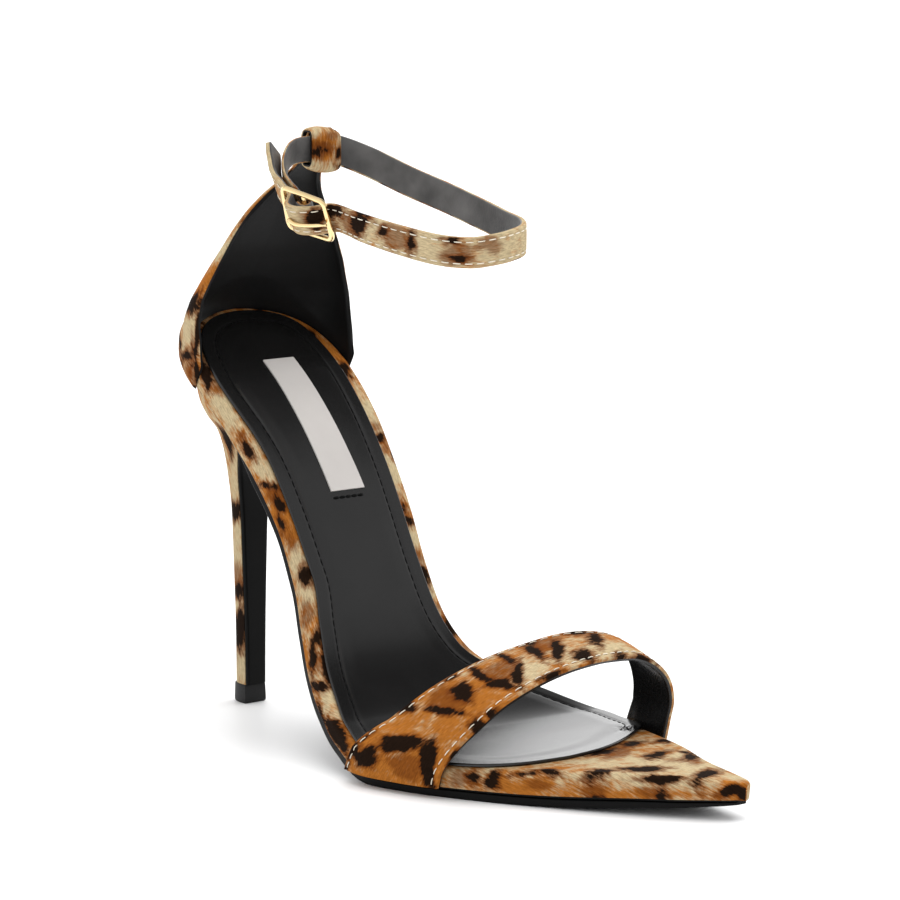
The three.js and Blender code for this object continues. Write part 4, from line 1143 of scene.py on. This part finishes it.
def make_sleeve():
    centre = SLEEVE["centre"]
    shares = [(-0.5, 0.5), (-0.5, 0.8), (-0.47, 0.95), (-0.42, 1.0)]
    shares += [(s, 1.0) for s in np.linspace(-0.36, 0.36, 15)]
    shares += [(0.42, 1.0), (0.47, 0.95), (0.5, 0.8), (0.5, 0.5)]
    shares += [(0.5, 0.0), (0.3, 0.0), (-0.3, 0.0), (-0.5, 0.0)]
    rings, flats = [], []
    outer_loop, perimeter = rounded_box(SLEEVE["depth"], SLEEVE["height"], SLEEVE["corner"], 120)
    slot_loop, _ = rounded_box(SLEEVE["slot_depth"], SLEEVE["slot_height"], SLEEVE["slot_corner"], 120)
    for k, (outer, slot) in enumerate(zip(outer_loop, slot_loop)):
        ring = []
        for s, out in shares:
            puff = 1 + SLEEVE["puff"] * math.cos(math.pi * s) * (out == 1.0)
            x, z = slot + (outer * puff - slot) * out
            ring.append((centre[0] + x, centre[1] + s * SLEEVE["length"], centre[2] + z - s))
        rings.append(ring)
        flats.append([(perimeter[k], s * SLEEVE["length"] + (0 if out else 20)) for s, out in shares])
    tags = [0] * (len(shares) - 5) + [1] * 5
    piece = leopard_piece("sleeve", "sleeve_leopard", np.array(rings), np.array(flats), tags, LINING_BLACK,
                          0.3, 3, closed=True)
    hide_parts("counter")


def band(rows, width, thickness, steps, face, pitch=0.0, rows_inset=None):
    """Rings of a strap: leather on the side that face gives, lining on the other, with its stitch rows."""
    curve = curve_through(rows[1:])
    t = np.linspace(0, 1, steps)
    here = curve(t)
    along = unit(curve(np.minimum(1, t + 0.004))[:, :3] - curve(np.maximum(0, t - 0.004))[:, :3])
    lean = np.radians(here[:, 3])
    across = np.stack([np.full(steps, pitch), -np.sin(lean), np.cos(lean)], -1)
    across = unit(across - along * (across * along).sum(-1, keepdims=True))
    out = unit(np.cross(along, across)) * face
    half = width / 2
    h = thickness / 2
    c = min(0.4, h * 0.8)
    face_y = np.linspace(-half + c, half - c, 27)
    back_y = np.linspace(half - c, -half + c, 9)
    inset = half - (rows_inset or 99)
    dip = BAND["groove"] * np.exp(-((np.abs(face_y) - inset) / 0.35) ** 2)
    crown = BAND["crown"] * (1 - (face_y / half) ** 2)
    corner = np.linspace(0, math.pi / 2, 5)[1:-1]
    dy, dz = c * np.sin(corner), c * np.cos(corner)
    y = np.concatenate([face_y, half - c + dy, [half, half], half - c + dz,
                        back_y, -half + c - dy, [-half, -half], -half + c - dz])
    o = np.concatenate([h + crown - dip, h - c + dz, [h - c, -h + c], -h + c - dy,
                        np.full(9, -h), -h + c - dz, [-h + c, h - c], h - c + dy])
    # The lining starts in the middle of the first narrow edge and ends in the middle of the second
    tags = np.zeros(len(y), int)
    tags[31:43] = 1
    rings = here[:, None, :3] + across[:, None] * y[None, :, None] + out[:, None] * o[None, :, None]
    run = lengths_along(here[:, :3])
    girth = lengths_along(np.stack([y, o], -1)) - half
    flat = np.stack(np.broadcast_arrays(run[:, None], girth[None]), -1)
    edges = []
    if rows_inset:
        for sign in (-1, 1):
            edges.append((here[:, :3] + across * sign * inset + out * (h + 0.02), out))
    return rings, flat, tags, edges


def make_ankle_strap():
    rings, flat, tags, edges = band(ANKLE_STRAP_ROWS, ANKLE_STRAP["width"], ANKLE_STRAP["thickness"], 620, -1,
                                    rows_inset=STITCH["ankle_inset"])
    piece = leopard_piece("ankle_strap", "ankle_strap_leopard", rings, flat, tags, GREY_LINING, 0.3, 4)
    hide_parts("ankle_strap")
    stitches("ankle_strap_stitches", edges, THREAD_CREAM)


def make_buckle_strap():
    rings, flat, tags, _ = band(BUCKLE_STRAP_ROWS, BUCKLE_STRAP["width"], BUCKLE_STRAP["thickness"], 200, 1,
                                pitch=BUCKLE_STRAP["pitch"])
    piece = leopard_piece("buckle_strap", "buckle_strap_leopard", rings, flat, tags, GREY_LINING, 0.5, 5)
    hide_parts("buckle_strap")


def toe_strap_surface(t, u):
    """Outer face of the toe strap: t from the outer side to the inner, u from its back edge to its front."""
    curve = curve_through(TOE_STRAP_ROWS[1:])
    p = curve(t)
    v = p[..., :3] + (p[..., 3:] - p[..., :3]) * u[..., None]
    bulge = 4 * u * (1 - u) * np.sin(np.pi * t) * TOE_STRAP["bulge"]
    centre = np.stack([v[..., 0], np.zeros_like(u), np.full_like(u, 8.0)], -1)
    v = v + unit(v - centre) * bulge[..., None]
    left, right = board_edges(v[..., 0])
    room = TOE_STRAP["gap"] + TOE_STRAP["thickness"] + 0.1
    low = np.clip((17 - v[..., 2]) / 7, 0, 1)
    outer = v[..., 1] + np.minimum(0, left - room - v[..., 1]) * low
    inner = v[..., 1] + np.maximum(0, right + room - v[..., 1]) * low
    v[..., 1] = np.where(t < 0.5, outer, inner)
    return v


def toe_strap_normals(t, u, reach):
    step = 0.01
    along = toe_strap_surface(np.minimum(1, t + step), u) - toe_strap_surface(np.maximum(0, t - step), u)
    over = toe_strap_surface(t, np.minimum(1, u + reach)) - toe_strap_surface(t, np.maximum(0, u - reach))
    return unit(np.cross(over, along))


def make_toe_strap():
    t = np.linspace(0, 1, 250)
    # Round the section: over the face with round edges, then back along the lining
    edge = [(0, 0.5), (0.002, 0.3), (0.006, 0.12), (0.014, 0.03)]
    face = np.linspace(0.026, 0.974, 53)
    back = np.linspace(0.975, 0.025, 25)
    u = [e for e, _ in edge] + list(face) + [1 - e for e, _ in reversed(edge)]
    depth = [d for _, d in edge] + [0] * len(face) + [d for _, d in reversed(edge)]
    tags = [0] * (len(u) - 1)
    u += [0.998, 0.994, 0.986] + list(back) + [0.014, 0.006, 0.002]
    depth += [0.7, 0.88, 0.97] + [1] * len(back) + [0.97, 0.88, 0.7]
    tags += [1] * (len(u) - len(tags))
    u, depth = np.array(u), np.array(depth, float)
    tt, uu = np.meshgrid(t, u, indexing="ij")
    across = toe_strap_surface(t, np.ones_like(t)) - toe_strap_surface(t, np.zeros_like(t))
    width = np.linalg.norm(across, axis=-1)
    inset = np.minimum(uu, 1 - uu) * width[:, None]
    dip = TOE_STRAP["groove"] * np.exp(-((inset - STITCH["toe_inset"]) / 0.45) ** 2) * (depth == 0)
    inward = toe_strap_normals(tt, uu, 0.01) * (depth * TOE_STRAP["thickness"] + dip)[..., None]
    rings = toe_strap_surface(tt, uu) - inward
    run = lengths_along(toe_strap_surface(t, np.full_like(t, 0.5)))
    flat = np.stack(np.broadcast_arrays(run[:, None], uu * 24 + (depth > 0.6) * 30), -1)
    piece = leopard_piece("toe_strap", "toe_strap_leopard", rings, flat, tags, GLOSS_BLACK, 0.65, 6)
    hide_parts("toe_strap")
    share = STITCH["toe_inset"] / width
    rows = [(toe_strap_surface(t, at), toe_strap_normals(t, at, 0.02)) for at in (share, 1 - share)]
    stitches("toe_strap_stitches", rows, THREAD_CREAM)


def make_buckle():
    corners = np.array(BUCKLE_CORNERS, float)
    path = []
    for i, corner in enumerate(corners):
        following = corners[(i + 1) % 4]
        before = corner + unit(corners[i - 1] - corner) * BUCKLE["corner"]
        after = corner + unit(following - corner) * BUCKLE["corner"]
        end = following + unit(corner - following) * BUCKLE["corner"]
        path += [before * (1 - s) ** 2 + corner * 2 * s * (1 - s) + after * s * s for s in np.linspace(0, 1, 9)]
        path += [after + (end - after) * s for s in np.linspace(0, 1, 8)[1:-1]]
    piece = wire("buckle_gold_frame", np.array(path), BUCKLE["wire"], GOLD, 16, closed=True, slot="buckle_gold")
    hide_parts("buckle_frame")
    start = (corners[0] + corners[3]) / 2
    stop = (corners[1] + corners[2]) / 2
    # A hair of bend gives the bar a plane of its own
    bar = start + (stop - start) * np.linspace(0, 1, 8)[:, None]
    bar = bar + np.array([0, 0, 1e-4]) * np.arange(8)[:, None] ** 2
    bar_piece = wire("buckle_gold_bar", bar, BUCKLE["bar"], GOLD, 12)
    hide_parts("buckle_frame")
    t = np.linspace(0, 1, 30)
    radii = np.interp(t, [0, 0.1, 0.7, 1], [0.62, 0.6, 0.55, 0.35])
    prong = wire("buckle_gold_prong", curve_through(PRONG_POINTS)(t), radii, GOLD, 12)
    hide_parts("buckle_prong")


def make_floor():
    mesh = bpy.data.meshes.new("floor")
    h = FLOOR_HALF
    mesh.from_pydata([(-h, -h, 0), (h, -h, 0), (h, h, 0), (-h, h, 0)], [], [(0, 1, 2, 3)])
    floor = put("floor", mesh)
    material, tree, shader = new_material("floor_white")
    grain = noise(tree, 0.02, 2.0, source="space")
    shade = add(tree, "MapRange", {"Value": grain, "To Min": 0.94, "To Max": 0.96})
    combined = add(tree, "CombineColor", {0: shade.outputs[0], 1: shade.outputs[0], 2: shade.outputs[0]})
    feed(tree, shader, {"Base Color": combined.outputs[0], "Roughness": 0.5, "Specular IOR Level": 0.5})
    mesh.materials.append(material)


def direction_share(tree, direction, towards, wide, narrow):
    """From 0 at an angle of wide degrees off a direction to 1 inside narrow degrees of it."""
    inputs = {0: direction, 1: tuple(unit(np.array(towards, float)))}
    along = add(tree, "VectorMath", inputs, operation="DOT_PRODUCT").outputs["Value"]
    return step_up(tree, along, math.cos(math.radians(wide)), math.cos(math.radians(narrow)))


def make_light():
    """Even soft studio, brighter on the near side, with a low panel at the far left and a dark flag over it."""
    world = bpy.data.worlds.new("studio")
    world.use_nodes = True
    tree = world.node_tree
    direction = add(tree, "TexCoord").outputs["Generated"]
    up = add(tree, "SeparateXYZ", {0: direction})
    top, bottom = (math.sin(math.radians(LIGHT[name])) for name in ("band_top", "band_low"))
    low = step_up(tree, up.outputs[2], top, bottom)
    low = times(tree, low, direction_share(tree, direction, **PANEL))
    level = plus(tree, times(tree, low, LIGHT["band"] - LIGHT["dome"]), LIGHT["dome"])
    near = direction_share(tree, direction, **NEAR)
    level = plus(tree, level, times(tree, near, LIGHT["near"]))
    flag = direction_share(tree, direction, **FLAG)
    level = times(tree, level, maths(tree, "SUBTRACT", 1.0, times(tree, flag, LIGHT["flag"])))
    feed(tree, tree.nodes["Background"], {"Color": (1, 1, 1, 1), "Strength": level})
    bpy.context.scene.world = world
    sun = bpy.data.lights.new("overhead", "SUN")
    sun.energy = LIGHT["sun"]
    sun.angle = math.radians(LIGHT["sun_spread"])
    lamp = put("overhead", sun)
    lamp.rotation_euler = (math.radians(-LIGHT["sun_lean"]), 0, 0)
    lamp.visible_glossy = False
    bpy.context.scene.view_settings.view_transform = "Standard"


def make_camera():
    camera = bpy.data.cameras.new("photo")
    camera.sensor_width = SENSOR
    camera.lens = VIEW["focal"] / PICTURE_WIDTH * SENSOR
    camera.clip_end = 50
    holder = put("photo", camera)
    place = CAMERA_PLACE * MILLIMETRE
    rows = [(CAMERA_RIGHT[k], CAMERA_UP[k], CAMERA_BACK[k], place[k]) for k in range(3)]
    holder.matrix_world = Matrix(rows + [(0, 0, 0, 1)])
    bpy.context.scene.camera = holder


for make in (make_camera, make_board, make_outsole, make_sock, make_label, make_heel, make_heel_tip,
             make_counter, make_sleeve, make_toe_strap, make_ankle_strap, make_buckle_strap, make_buckle,
             make_floor, make_light):
    make()
